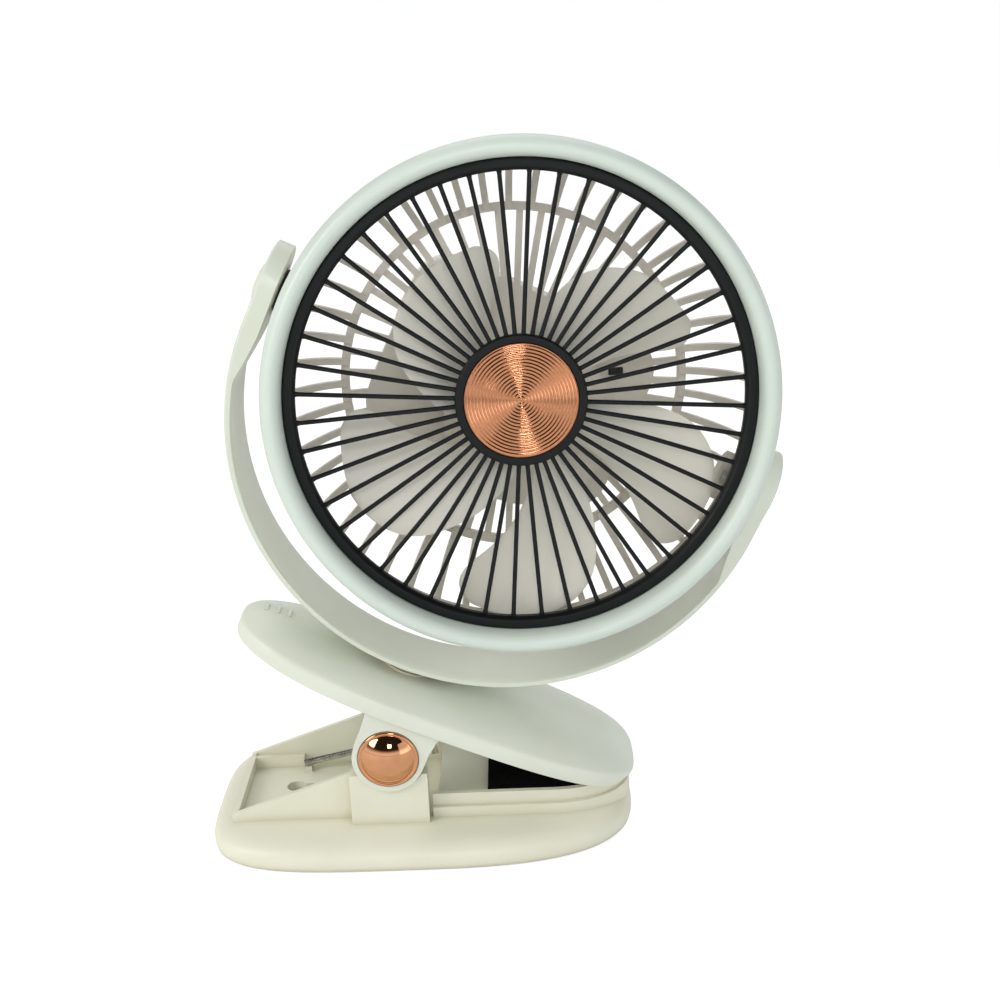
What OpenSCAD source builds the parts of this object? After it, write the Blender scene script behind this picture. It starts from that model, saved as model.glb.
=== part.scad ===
// Clip-on camping fan: a spring clip, a C-shaped yoke that swivels on it, and a fan head that tilts
// in the yoke. Millimetres. +Z up, the grille faces -Y, the clip's nose points along +X, and the
// origin is the centre of the base's underside.

/* [Clip base] */
// Length of the base plate
base_len = 144; // [120:1:180]
// Width of the base plate
base_w = 84; // [76:1:104]
// Height of the base plate's flat top
plate_h = 9.4; // [8:0.2:12]
// Outside width of the spring box and the jaw bed
box_w = 44; // [42:1:52]
// Wall of the spring box
box_wall = 1.8; // [1.4:0.1:2.4]
// Height of the spring box at its tail end
tail_h = 11.8; // [11:0.2:14]
// Height of the spring box where it meets the hinge
box_h = 26.6; // [24:0.2:30]
// Height of the spring box floor
floor_t = 7.4; // [6:0.2:8]
// Height of the lip round the lower jaw bed
lip_h = 17.3; // [15:0.1:19]

/* [Hinge] */
// Place of the hinge pin along the base, from its middle
pin_x = -9.3; // [-20:0.1:5]
// Height of the hinge pin
pin_z = 34.2; // [31:0.1:40]
// Radius of the hinge pin
pin_r = 2; // [1.5:0.1:3]
// Running clearance round pins and studs
run_gap = 0.05; // [0.02:0.01:0.1]
// Radius of the base's hinge ears
ear_r = 11; // [9:0.5:12]
// Thickness of a base ear
ear_t = 4; // [3:0.5:5]
// Radius of the jaw's round cheeks
cheek_r = 12; // [11.6:0.2:14]
// Thickness of a jaw cheek
cheek_t = 3.4; // [2.6:0.2:4]
// Radius of a polished hinge cap
cap_r = 10; // [7:0.1:11]
// Height of a hinge cap's dome
cap_h = 4; // [2.5:0.1:5]

/* [Upper jaw] */
// Lean of the jaw, and of all that stands on it, from level
lean = 23.5; // [18:0.5:26]
// Setback of the closed nose from the end of the base
nose_back = 0.76; // [0:0.02:4]
// Reach of the thumb end from the pin
thumb_reach = 61.5; // [50:0.5:76]
// How far the thumb end bows up
thumb_lift = 1.6; // [0:0.1:4]
// Overhang of the jaw past the spring box, on each side
jaw_overhang = 8.5; // [8:0.1:12]
// Height of the jaw's crown above the pin
crown_s = 22.3; // [21:0.1:26]
// Height of the skirt's lower edge above the pin
skirt_s = 13.4; // [13:0.1:15]
// Wall of the jaw
jaw_wall = 2.4; // [1.8:0.1:3]
// Thickness of the jaw pads
pad_t = 2; // [1.5:0.1:3]

/* [Spring] */
// Radius of the spring wire
wire_r = 1.2; // [0.7:0.1:1.3]
// Mean radius of the coil
coil_r = 6.6; // [5.5:0.1:7.5]
// Whole turns of the coil
coil_turns = 5; // [3:1:6]

/* [Yoke] */
// Gap between the bezel and the inside of the yoke band, at the pivots
yoke_gap = 5.4; // [4:0.1:9]
// Thickness of the yoke band
yoke_t = 3; // [2.4:0.1:4]
// Width of the yoke band
yoke_w = 27; // [22:1:32]
// Height of the tilt pivots above the centre of the yoke's circle
pivot_rise = 12.5; // [8:0.5:16]
// How far the round end of each arm stands out past the band's edge
arm_end_grow = 1; // [0.6:0.1:3]
// Turn of the arms along the yoke's circle, past the jaw's lean
yoke_turn = 2.3; // [0:0.1:5]
// Offset of the swivel from the pin along the jaw
swivel_u = -3.3; // [-8:0.1:4]
// Radius of the swivel screw
stud_r = 3; // [2.5:0.1:4]
// Radius of the tilt screws
tilt_r = 2; // [1.5:0.1:2.5]

/* [Head] */
// Tilt of the head's back, down from square
tilt_back = 6; // [0:1:20]
// Outside radius of the bezel
bezel_r = 80; // [74:0.5:100]
// Width of the bezel's face
bezel_face = 6.5; // [5:0.1:9]
// Depth of the bezel
bezel_d = 16; // [12:0.5:18]
// Width of the grille's rim
rim_w = 3.8; // [2.5:0.1:5]
// Number of grille bars
bars = 48; // [24:1:60]
// Width of a grille bar
bar_w = 1.4; // [1:0.1:2]
// Radius of the grille's hub ring
hub_ring_r = 20.6; // [17:0.1:24]
// Radius of the turned badge
badge_r = 17.9; // [14:0.1:19]
// Width of the rear grille's outer bars, from the duct to the middle ring
outer_bar_reach = 20.4; // [16:0.2:23]
// Width of a rear bar
rear_bar_w = 2.2; // [1.6:0.1:3]

/* [Pod] */
// Width of the pod
pod_w = 88; // [84:1:92]
// Height of the pod
pod_h = 65; // [62:1:78]
// Depth of the pod's cover
cover_d = 17; // [16:0.5:22]
// Radius of the pod's corners
pod_corner = 14; // [12:0.5:18]
// Wall of the pod
pod_wall = 2; // [1.6:0.1:2.4]
// Travel of the power button
button_travel = 0.8; // [0.4:0.1:1]

/* [Rotor and motor] */
// Gap between the blade tips and the duct, where they come nearest
tip_gap = 2; // [1.6:0.1:12]
// Number of blades
blades = 5; // [3:1:7]
// Offset of the motor's axis from the grille's, along the tilt pivots
motor_u = 8.5; // [0:0.5:9]
// Offset of the motor's axis from the grille's, across the tilt pivots
motor_b = -9.5; // [-10:0.5:0]
// Radius of the motor can
can_r = 14; // [11:0.5:16]
// Length of the motor can
can_len = 15; // [13:0.5:16]
// Radius of the motor shaft
shaft_r = 1.5; // [1:0.1:2]
// Radius of the motor drum on the pod's front
drum_r = 28; // [22:0.5:29]

/* [Hidden] */

$fn = 72;
tiny = 0.01;            // overshoot of a cut past the face it opens
face_gap = 0.2;         // gap between flat faces of two moving pieces
snug = 0.03;            // gap round a fixed piece in its seat

// Clip
ear_out = box_w / 2 + 2;               // outer face of a base ear, from the middle
cheek_in = ear_out + face_gap * 2;     // inner face of a jaw cheek
cheek_out = cheek_in + cheek_t;        // outer face of a jaw cheek
block_out = cheek_out - 1.2;           // outer face of the block under a cheek
block_gap = 0.5;                       // gap between a cheek and the block's round seat
cap_seat = 0.8;                        // depth of the cap's recess in the cheek
jaw_w = box_w + 2 * jaw_overhang;      // width of the jaw
nose_reach = (base_len / 2 - nose_back - pin_x - skirt_s * sin(lean)) / cos(lean);
tail_x = -base_len / 2 + 8;            // outer face of the spring box's tail wall
block_back = 13.6;                     // reach of the hinge block behind the pin, and in front of it
block_front = 12.4;
box_end_x = pin_x - block_back + 1;    // where the spring box meets the hinge
flare_back = 12.6;                     // reach of a cheek where it meets the skirt, behind and in front
flare_front = 13.2;
bed_start_x = pin_x + ear_r + 2.5;     // where the lower jaw bed starts
lip_start_x = base_len / 2 - 29;       // where the lip's sides start to round in
lip_end_x = base_len / 2 - 1;          // outer end of the lip
lip_step = 1.6;                        // width of the step at the lip's foot
bed_h = lip_h - 0.2 - pad_t;           // floor of the bed, under its pad
pad_x0 = pin_x + 32;                   // edge of the lower pad
bite_z = lip_h + 0.9;                  // flat underside of the closed nose
bite_x = pin_x + nose_reach * 0.66;    // where the flat of the bite starts
keyhole_x = tail_x + 18.2;             // centre of the hanging keyhole
keyhole_y = 4;
keyhole_r = 3.4;
keyslot_r = 1.7;
keyslot_len = 7.5;

// Jaw, in the jaw's own frame: u along it, s square to it, both from the pin
widest_u = 15;                         // where the jaw is widest
seat_s = crown_s - 0.7;                // flat seat of the swivel washer
// how far the jaw's top falls away towards its edge: inset from the edge, and drop from the crown
crown_fall = [[5.2, 1.4], [7.6, 0.8], [10.6, 0.35], [14, 0.1], [18, 0]];
rib_u = 6.5;                           // first grip rib from the thumb end
rib_step = 4;                          // spacing of the grip ribs
rib_h = 0.5;                           // how far they stand up
rib_len = 6;
rib_y = 4.5;                           // middle of the ribs, right of the jaw's middle seen from its nose
solid_u = nose_reach * 0.7;            // where the solid nose starts
pad_u0 = solid_u + 2;                  // ends and half width of the upper jaw's pad
pad_u1 = nose_reach - 7;
pad_half = 15;
washer_t = 1.2;
washer_r = 9.4;
stud_boss_r = 8.5;
stud_boss_s = 14.6;                    // underside of the jaw's swivel boss

// Yoke
yoke_r = bezel_r + yoke_gap + yoke_t;  // outside radius of the band
arm_end_r = yoke_w / 2 + arm_end_grow; // radius of the round end of each arm
boss_r = 9;                            // swivel boss under the yoke
boss_s = seat_s + washer_t + face_gap; // underside of the yoke's boss
yoke_low_s = boss_s + 1.5;             // lowest line of the band
circle_s = yoke_low_s + yoke_r;        // centre of the yoke's circle above the pin
head_s = circle_s + pivot_rise;        // tilt axis above the pin
screw_end_s = yoke_low_s + yoke_t - 1.2; // end of the swivel screw, inside the band
stud_head_r = 6.4;
stud_head_t = 2.4;
spring_washer_t = 0.6;

// Tilt pivots
arm_in = bezel_r + 1.6;                // inner face of an arm's round end
arm_t = yoke_r + 0.02 - arm_in;         // thickness of an arm at its round end
tilt_head_r = 4.2;
tilt_head_t = 2.2;
tilt_head_u = arm_in + 2.6;            // underside of a tilt screw's head
cap_rim_r = 6.6;                       // radius of the cover over a tilt screw
tilt_washer_t = 1;
tilt_washer_r = 7;
tilt_boss_r = 8.5;
tilt_boss_end = arm_in - face_gap - tilt_washer_t - snug;
tilt_screw_len = 11.5;

// Head, in the head's own frame: X along the tilt axis, Y to the back, Z across
bezel_y = -23.6;                       // plane of the bezel's largest radius
bezel_front = bezel_y - 5.4;
bezel_back = bezel_front + bezel_d;
bezel_in = bezel_r - bezel_face;
rim_r = bezel_in - 0.2;
rim_front = bezel_y + 2.4;
rim_d = 3.8;
grille_y = rim_front + 2;              // front of the bars
bar_t = 1.6;
bar_phase = -2.75;                     // turn of the grille's bars from upright
duct_r = bezel_r - 2.6;                // outer radius of the duct behind the bezel
duct_wall = 1.8;
rear_ring_r = duct_r - outer_bar_reach;  // middle ring of the rear grille
clamp_y0 = rim_front + 1.4;            // face of the bezel's lip that clamps the grille
flange_t = 2;                          // thickness of the grille's clamped flange
duct_front = clamp_y0 + flange_t + 2 * snug;
duct_back = 2;
screw_y = bezel_back - 2.9;            // plane of the bezel's screws
screw_seat_r = bezel_r - 1.5;          // seat of their heads
dish_steps = 7;
dish_r = rear_ring_r + 1.2;            // outer line of the rear bars ends at this radius, at dish_y
dish_y = 28.6;
dish = [for (i = [0:dish_steps]) let (a = 90 * i / dish_steps)
    [dish_r + (duct_r - dish_r) * pow(cos(a), 1.33), duct_back + (dish_y - duct_back) * pow(sin(a), 1.33)]];
rear_bar_t = 2.4;
ring_t = 2.8;
ring_y = 27.4;
pod_mid_b = -3.5;                      // middle of the pod across the tilt axis
split_y = 37;                          // where the cover meets the housing
pod_back = split_y + cover_d;
cover_wall = pod_wall;
screw_u = pod_w / 2 - 7.5;
screw_b = pod_h / 2 - 7.5;
drum_front = 9;
drum_wall = 2;

// Motor, on its own axis
rotor_r = duct_r - duct_wall - tip_gap - norm([motor_u, motor_b]);
can_front = drum_front + drum_wall + 0.02;
can_back = can_front + can_len;
bell_t = 3;
bush_r = 4;
bush_len = 2.6;
shaft_front = -16.2;
shaft_back = can_back + bell_t + 1;
hub_r = 10;
hub_front = -14.6;
hub_back = 2;
blade_t = 1.5;
blade_mid_y = -7.4;
root_r = 9;

// Pod contents
cell_r = 9.2;
cell_len = 65;
cell_b = pod_mid_b + pod_h / 2 - 15;
cell_y = pod_back - cover_wall - cell_r - 0.3;
contact_t = 0.6;
board_y = split_y + 5.5;
board_t = 1.6;
board_w = 38;
board_h = 21;
board_u = -11.5;
board_b = pod_mid_b - pod_h / 2 + 16;
usb_u = -19;
usb_w = 8.94;
usb_h = 3.26;
usb_len = 7.3;
button_u = -4;
button_b = board_b + 2;
button_r = 5;
button_out = 1.6;
pipe_u = -20;
pipe_r = 1.5;
switch_t = 3.4;

// ---- Frames and shared shapes ----

module jaw_frame() translate([pin_x, 0, pin_z]) rotate([0, lean, 0]) children();

module yoke_frame() jaw_frame() translate([swivel_u, 0, circle_s]) rotate([0, yoke_turn, 0]) children();

module head_frame() yoke_frame() translate([0, 0, pivot_rise]) rotate([-tilt_back, 0, 0]) children();

module motor_axis() head_frame() translate([motor_u, 0, motor_b]) children();

module both_sides() {
    children();
    mirror([0, 1, 0]) children();
}

module both_pivots() {
    children();
    mirror([1, 0, 0]) children();
}

// A cylinder from y0 to y1 along Y.
module rod_y(r, y0, y1) translate([0, y1, 0]) rotate([90, 0, 0]) cylinder(r = r, h = y1 - y0);

// A profile of [radius, y] points turned about Y.
module turn_y(points, angle = 360)
    rotate([-90, 0, 0]) rotate_extrude(angle = angle, $fn = 144) polygon(points);

// A flat outline in X and Z, from y0 to y1.
module plate_y(points, y0, y1)
    translate([0, y1, 0]) rotate([90, 0, 0]) linear_extrude(y1 - y0) polygon(points);

function arc(cx, cy, r, from, to, steps) =
    [for (i = [0:steps]) let (a = from + (to - from) * i / steps) [cx + r * cos(a), cy + r * sin(a)]];

// One point of a rounded plan whose two ends differ in length and bluntness.
function plan_point(a, front, back, half, n_front, n_back) =
    let (n = cos(a) >= 0 ? n_front : n_back, len = cos(a) >= 0 ? front : back)
    [sign(cos(a)) * len * pow(abs(cos(a)), 2 / n), sign(sin(a)) * half * pow(abs(sin(a)), 2 / n)];

function plan(inset, front, back, half, n_front, n_back, steps = 96) =
    [for (i = [0:steps - 1])
        plan_point(360 * (i + 0.5) / steps, front - inset, back - inset, half - inset, n_front, n_back)];

// A closed solid through a stack of equal rings of points. A ring of two matching rows, whose ends
// don't lie flat, is closed row to row.
module loft(rings, rows = false) {
    n = len(rings[0]);
    m = len(rings);
    last = (m - 1) * n;
    polyhedron(
        points = [for (ring = rings) each ring],
        faces = concat(
            rows ? [for (i = [0:n / 2 - 2]) each [[i, i + 1, n - 2 - i], [i, n - 2 - i, n - 1 - i]]]
                 : [[for (i = [0:n - 1]) i]],
            [for (k = [0:m - 2]) for (i = [0:n - 1]) each
                [[k * n + i, (k + 1) * n + i, (k + 1) * n + (i + 1) % n],
                 [k * n + i, (k + 1) * n + (i + 1) % n, k * n + (i + 1) % n]]],
            rows ? [for (i = [0:n / 2 - 2]) each [
                        [last + i, last + n - 2 - i, last + i + 1],
                        [last + i, last + n - 1 - i, last + n - 2 - i]
                    ]]
                 : [[for (i = [n - 1:-1:0]) last + i]]
        )
    );
}

function lift(points, z) = [for (p = points) [p[0], p[1], z]];

// A tube of constant radius along a route, its ends cut square to Y.
module wire(route, r, sides = 8) {
    rings = [for (k = [0:len(route) - 1])
        let (
            d = route[min(k + 1, len(route) - 1)] - route[max(k - 1, 0)],
            t = d / norm(d),
            side = cross(t, [0, 1, 0.001]),
            a = side / norm(side),
            b = cross(t, a)
        )
        [for (i = [0:sides - 1]) route[k] + r * (cos(360 * i / sides) * a + sin(360 * i / sides) * b)]];
    loft(rings);
}

// ---- Clip ----

function base_plan(inset) = plan(inset, base_len / 2, base_len / 2, base_w / 2, 2.8, 4);

module base_plate() {
    rim = [
        [1.8, 0], [0.9, 0.3], [0.3, 1], [0, 2.2], [0, 4], [0.3, 5.2], [0.9, 6.3], [1.9, 7.3], [3.3, 8.1],
        [5.2, 8.7], [7.6, 9.1], [10.4, 9.3], [14, 9.4]
    ];
    loft([for (p = rim) lift(base_plan(p[0]), p[1] * plate_h / 9.4)]);
}

// Plan of the lip round the lower jaw's bed, from x0 to its round front end.
function lip_plan(inset, x0) =
    let (half = box_w / 2 - inset, length = min(lip_end_x - inset, base_len / 2 - 0.3) - lip_start_x)
    concat(
        [[x0, -half]],
        [for (i = [1:31]) let (a = -90 + 180 * i / 32)
            [lip_start_x + length * pow(cos(a), 0.87), sign(sin(a)) * half * pow(abs(sin(a)), 0.87)]],
        [[x0, half]]
    );

// Side view of the spring box, from its tail to the hinge.
module box_side(y0, y1)
    plate_y([[tail_x, 0], [tail_x, tail_h], [box_end_x, box_h], [pin_x + 2, box_h], [pin_x + 2, 0]], y0, y1);

module hinge_block() {
    x0 = pin_x - block_back;
    x1 = pin_x + block_front;
    difference() {
        translate([x0, -block_out, plate_h - 1])
            cube([x1 - x0, block_out - box_w / 2 + 1, box_h - plate_h + 2]);
        translate([pin_x, 0, pin_z]) rod_y(cheek_r + block_gap, -cheek_out - 1, -ear_out);
    }
}

module base_ear() {
    translate([pin_x, 0, pin_z]) rod_y(ear_r, -ear_out, -ear_out + ear_t);
    translate([pin_x - ear_r, -ear_out, plate_h - 1]) cube([2 * ear_r, ear_t, pin_z - plate_h + 1]);
}

// Seat under the spring's lower leg.
leg_y = 15.4;
leg_end = [tail_x + 20, 10.4];
leg_bend = [pin_x - 16, 14.4];

module spring_seat() {
    slope = (leg_bend[1] - leg_end[1]) / (leg_bend[0] - leg_end[0]);
    x0 = leg_end[0] + 0.3;
    x1 = x0 + 2.2;
    under = leg_end[1] - wire_r - 0.25;
    plate_y([[x0, floor_t - 1], [x0, under + slope * 0.3], [x1, under + slope * 2.5], [x1, floor_t - 1]],
            leg_y - 1.8, leg_y + 1.8);
}

module base() {
    inner = box_w / 2 - box_wall;
    color("ivory") difference() {
        union() {
            base_plate();
            intersection() {
                both_sides() box_side(-box_w / 2, -box_w / 2 + box_wall + 1);
                translate([tail_x, -box_w, 0]) cube([base_len, 2 * box_w, 60]);
            }
            translate([tail_x, -box_w / 2, 0]) cube([box_wall + 1, box_w, tail_h]);
            linear_extrude(lip_h) polygon(lip_plan(0, bed_start_x));
            linear_extrude(plate_h + 3.6) polygon(lip_plan(-lip_step, bed_start_x));
            both_sides() hinge_block();
            both_sides() base_ear();
        }
        // hollow of the spring box
        translate([tail_x + box_wall, -inner, floor_t]) cube([bed_start_x - tail_x, 2 * inner, 60]);
        // bed of the lower jaw
        translate([0, 0, bed_h]) linear_extrude(20) polygon(lip_plan(box_wall, bed_start_x - 1));
        // pin bore
        translate([pin_x, 0, pin_z]) rod_y(pin_r + run_gap, -ear_out - 1, ear_out + 1);
        // hanging keyhole
        translate([keyhole_x, keyhole_y, -1]) cylinder(r = keyhole_r, h = floor_t + 2);
        translate([keyhole_x, keyhole_y - keyslot_r, -1]) cube([keyslot_len, 2 * keyslot_r, floor_t + 2]);
        translate([keyhole_x + keyslot_len, keyhole_y, -1]) cylinder(r = keyslot_r, h = floor_t + 2);
    }
    color("ivory") spring_seat();
    // ledges along the box walls, the far one up to the end of the spring's leg
    color("ivory") translate([tail_x + box_wall / 2, 0, floor_t - 1]) {
        translate([0, inner - 2.4, 0])
            cube([leg_end[0] - tail_x - box_wall / 2 - 0.6, 3, tail_h - floor_t + 0.8]);
        translate([0, -inner - 0.6, 0]) cube([8, 3, tail_h - floor_t]);
    }
}

module hinge_pin() color("silver") translate([pin_x, 0, pin_z])
    rod_y(pin_r, -cheek_out + cap_seat, cheek_out - cap_seat);

module hinge_cap() {
    dome_r = (pow(cap_r, 2) + pow(cap_h, 2)) / (2 * cap_h);
    half_angle = asin(cap_r / dome_r);
    profile = concat(
        [[0, 0], [cap_r, 0]],
        arc(0, -cap_h - cap_seat + dome_r, dome_r, -90 + half_angle, -90, 14)
    );
    color("peru") translate([pin_x, -cheek_out + cap_seat, pin_z]) turn_y(profile);
}

module hinge_cap_front() hinge_cap();

module hinge_cap_back() mirror([0, 1, 0]) hinge_cap();

function in_jaw(u, s) = [pin_x + u * cos(lean) + s * sin(lean), pin_z - u * sin(lean) + s * cos(lean)];

// Lower leg, coil and upper leg. The coil starts at the back and winds towards the front.
module torsion_spring() {
    pitch = 2 * wire_r + 0.25;
    steps = 14;
    start_a = 205;
    end_a = start_a + 360 * coil_turns + 0;
    coil = [for (i = [0:steps * coil_turns])
        let (a = start_a - 360 * i / steps)
        [pin_x + coil_r * cos(a), leg_y - pitch * i / steps, pin_z + coil_r * sin(a)]];
    last_y = leg_y - pitch * coil_turns;
    lower = [[leg_end[0], leg_y, leg_end[1]], [leg_bend[0], leg_y, leg_bend[1]],
             [leg_bend[0] + 1.6, leg_y, leg_bend[1] + 1.4]];
    knee = in_jaw(-24, crown_s - jaw_wall - 4.4 + bow(-24));
    tip = in_jaw(-43, crown_s - jaw_wall - 3.2 + bow(-43));
    upper = [[knee[0], last_y, knee[1]], [tip[0], last_y, tip[1]]];
    color("silver") wire(concat(lower, coil, upper), wire_r);
}

module lower_jaw_pad() color("#202124") {
    translate([0, 0, bed_h]) linear_extrude(pad_t) polygon(lip_plan(box_wall + 0.3, pad_x0));
}

function jaw_plan(inset) =
    [for (p = plan(inset, nose_reach - widest_u, thumb_reach + widest_u, jaw_w / 2, 3.2, 2.4))
        [p[0] + widest_u, p[1]]];

// How far the jaw bows up, a distance u along it from the pin.
function bow(u) = thumb_lift * pow(max(0, -u - flare_back) / (thumb_reach - flare_back), 2);

// One ring of the jaw, bowed at its thumb end.
function jaw_ring(inset, s) = [for (p = jaw_plan(inset)) [p[0], p[1], s + bow(p[0])]];

module cheek() {
    rod_y(cheek_r, -cheek_out, -cheek_in);
    plate_y([[-cheek_r, 0], [-cheek_r, 6], [-flare_back, skirt_s + 0.2], [-flare_back, skirt_s + 2.5],
             [flare_front, skirt_s + 2.5], [flare_front, skirt_s + 0.2], [cheek_r, 6], [cheek_r, 0]],
            -cheek_out, -cheek_in);
}

// Solid root of a cheek inside the shell, and the ribs that stiffen it.
module cheek_root() {
    translate([-flare_back, -jaw_w / 2, 0]) cube([flare_back + flare_front, jaw_w / 2 - cheek_in, crown_s]);
    for (u = [-thumb_reach * 0.76, nose_reach * 0.4])
        translate([u, -jaw_w / 2, skirt_s + 3]) cube([1.8, jaw_w / 2 + 1, crown_s]);
}

module jaw_shell() {
    outer = [
        [0.8, skirt_s], [0.2, skirt_s + 0.3], [0, skirt_s + 0.9], [0, skirt_s + 4.7], [0.25, skirt_s + 5.4],
        [0.8, skirt_s + 5.9], [1.7, skirt_s + 6.3], [3.3, skirt_s + 6.9],
        each [for (p = crown_fall) [p[0], crown_s - p[1]]]
    ];
    hollow = [[jaw_wall, skirt_s - 1], [jaw_wall, skirt_s + 3.4], [jaw_wall + 1.4, crown_s - jaw_wall - 1.4],
              [jaw_wall + 4, crown_s - jaw_wall]];
    difference() {
        loft([for (p = outer) jaw_ring(p[0], p[1])], true);
        difference() {
            loft([for (p = hollow) jaw_ring(p[0], p[1])], true);
            translate([solid_u, -jaw_w, 0]) cube([nose_reach, 2 * jaw_w, crown_s]);
            both_sides() cheek_root();
            translate([swivel_u, 0, stud_boss_s]) cylinder(r = stud_boss_r, h = crown_s);
        }
    }
}

// Three raised grip ribs on the thumb end.
module grip_ribs() {
    for (i = [0:2]) {
        u = rib_u + rib_step * i - thumb_reach;
        top = crown_s - lookup(u + thumb_reach, crown_fall) + bow(u) + rib_h;
        translate([u, rib_y - rib_len / 2, top - 2.4]) cube([1.2, rib_len, 2.4]);
    }
}

module upper_jaw() color("ivory") difference() {
    jaw_frame() difference() {
        union() {
            jaw_shell();
            both_sides() cheek();
            translate([swivel_u, 0, stud_boss_s]) cylinder(r = stud_boss_r, h = seat_s - stud_boss_s);
            grip_ribs();
        }
        both_sides() rod_y(cap_r + 0.25, -cheek_out - 1, -cheek_out + cap_seat);
        rod_y(pin_r + snug, -cheek_out - 1, cheek_out + 1);
        translate([swivel_u, 0, seat_s]) cylinder(r = washer_r + 0.3, h = 10);
        translate([swivel_u, 0, 0]) cylinder(r = stud_r + run_gap, h = 60);
    }
    // flat bite of the nose, and the seat of its pad
    translate([bite_x - 30, -jaw_w, bite_z - 60]) cube([120, 2 * jaw_w, 60]);
    jaw_pad_wedge(snug, bite_z - 1);
}

// Wedge between the sloping jaw and the level bite.
module jaw_pad_wedge(grow, low) intersection() {
    jaw_frame() translate([pad_u0 - grow, -pad_half - grow, -20])
        cube([pad_u1 - pad_u0 + 2 * grow, 2 * (pad_half + grow), 21.4 + skirt_s + grow]);
    translate([-base_len, -jaw_w, low]) cube([2 * base_len, 2 * jaw_w, 60]);
}

module upper_jaw_pad() color("#202124") jaw_pad_wedge(0, bite_z - 0.6);

// ---- Swivel ----

module swivel_washer() color("ivory") jaw_frame() translate([swivel_u, 0, seat_s]) difference() {
    cylinder(r = washer_r, h = washer_t);
    translate([0, 0, -1]) cylinder(r = stud_r + run_gap, h = washer_t + 2);
}

// Shoulder screw, driven up into the yoke's boss from beneath.
module swivel_screw() color("silver") jaw_frame() translate([swivel_u, 0, 0]) {
    head_s0 = stud_boss_s - face_gap - spring_washer_t;
    translate([0, 0, head_s0 - 0.1]) cylinder(r = stud_r, h = screw_end_s - snug - head_s0 + 0.1);
    difference() {
        translate([0, 0, head_s0 - stud_head_t]) cylinder(r = stud_head_r, h = stud_head_t);
        translate([0, 0, head_s0 - stud_head_t - 1]) cylinder(r = 2.3, h = 2.4, $fn = 6);
    }
}

module swivel_spring_washer() color("dimgray") jaw_frame()
    translate([swivel_u, 0, stud_boss_s - face_gap - spring_washer_t]) difference() {
        cylinder(r = stud_head_r, h = spring_washer_t);
        translate([0, 0, -1]) cylinder(r = stud_r + snug, h = spring_washer_t + 2);
    }

// ---- Yoke ----

module yoke_band() {
    half = yoke_w / 2;
    edge = 0.8;
    r0 = yoke_r - yoke_t;
    profile = [
        [r0 + edge, -half], [yoke_r - edge, -half], [yoke_r - 0.2, -half + edge * 0.6],
        [yoke_r, -half + edge * 2],
        [yoke_r, half - edge * 2], [yoke_r - 0.2, half - edge * 0.6], [yoke_r - edge, half],
        [r0 + edge, half], [r0, half - edge], [r0, -half + edge]
    ];
    rise = asin((pivot_rise - 4) / yoke_r);
    rotate([-90, 0, 0]) rotate([0, 0, -rise])
        rotate_extrude(angle = 180 + 2 * rise, $fn = 144) polygon(profile);
}

// Upper part of one arm: flat and upright outside, thicker towards its round end inside.
module arm_end() {
    outer_u = arm_in + arm_t;
    half = yoke_w / 2 + 0.05;
    top_v = pivot_rise + arm_end_r;
    intersection() {
        plate_y([
            [arm_in, top_v], [arm_in, 4], [arm_in + 0.5, -5], [arm_in + 1.3, -12], [arm_in + 2.1, -17],
            [arm_in + 2.9, -19],
            [yoke_r - 1.7, -14], [yoke_r - 1, -9], [yoke_r - 0.3, -4], [outer_u, 0], [outer_u, top_v]
        ], -arm_end_r - 1, arm_end_r + 1);
        union() {
            translate([arm_in, 0, pivot_rise]) rotate([0, 90, 0]) rotate_extrude() polygon([
                [0, -1], [arm_end_r - 0.8, -1], [arm_end_r - 0.8, 0], [arm_end_r, 0.8],
                [arm_end_r, arm_t - 1.4], [arm_end_r - 0.4, arm_t - 0.5], [arm_end_r - 1.4, arm_t],
                [arm_end_r - 1.4, arm_t + 1], [0, arm_t + 1]
            ]);
            translate([arm_in, 0, -20]) linear_extrude(pivot_rise + 20) polygon([
                [0, -half + 0.8], [0.8, -half], [arm_t - 1.4, -half], [arm_t - 0.5, -half + 0.4],
                [arm_t, -half + 1.4], [arm_t, half - 1.4], [arm_t - 0.5, half - 0.4], [arm_t - 1.4, half],
                [0.8, half], [0, half - 0.8]
            ]);
        }
    }
}

module yoke() color("ivory") difference() {
    union() {
        yoke_frame() difference() {
            union() {
                yoke_band();
                both_pivots() arm_end();
            }
            both_pivots() translate([0, 0, pivot_rise]) rotate([0, 90, 0]) {
                cylinder(r = tilt_r + run_gap, h = 2 * yoke_r);
                translate([0, 0, tilt_head_u - 0.2]) cylinder(r = tilt_head_r + 0.4, h = 10);
                translate([0, 0, arm_in + arm_t - 1]) cylinder(r = cap_rim_r + snug, h = 10);
            }
        }
        jaw_frame() translate([swivel_u, 0, boss_s])
            cylinder(r = boss_r, h = yoke_low_s - boss_s + yoke_t - 0.4);
    }
    // blind bore of the swivel screw
    jaw_frame() translate([swivel_u, 0, 0]) cylinder(r = stud_r + snug, h = screw_end_s);
}

module tilt_screws() color("silver") head_frame() both_pivots() rotate([0, 90, 0]) {
    translate([0, 0, tilt_head_u - tilt_screw_len]) cylinder(r = tilt_r, h = tilt_screw_len);
    difference() {
        translate([0, 0, tilt_head_u]) cylinder(r = tilt_head_r, h = tilt_head_t);
        translate([0, 0, tilt_head_u + 0.8]) cylinder(r = 1.5, h = 3, $fn = 6);
    }
}

module tilt_caps() color("ivory") yoke_frame() both_pivots()
    translate([arm_in + arm_t - 1, 0, pivot_rise]) rotate([0, 90, 0]) rotate_extrude()
        polygon([
            [0, 0], [cap_rim_r, 0], [cap_rim_r, 1.1], [cap_rim_r - 1.2, 1.7], [cap_rim_r - 3.2, 2.1], [0, 2.3]
        ]);

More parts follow.
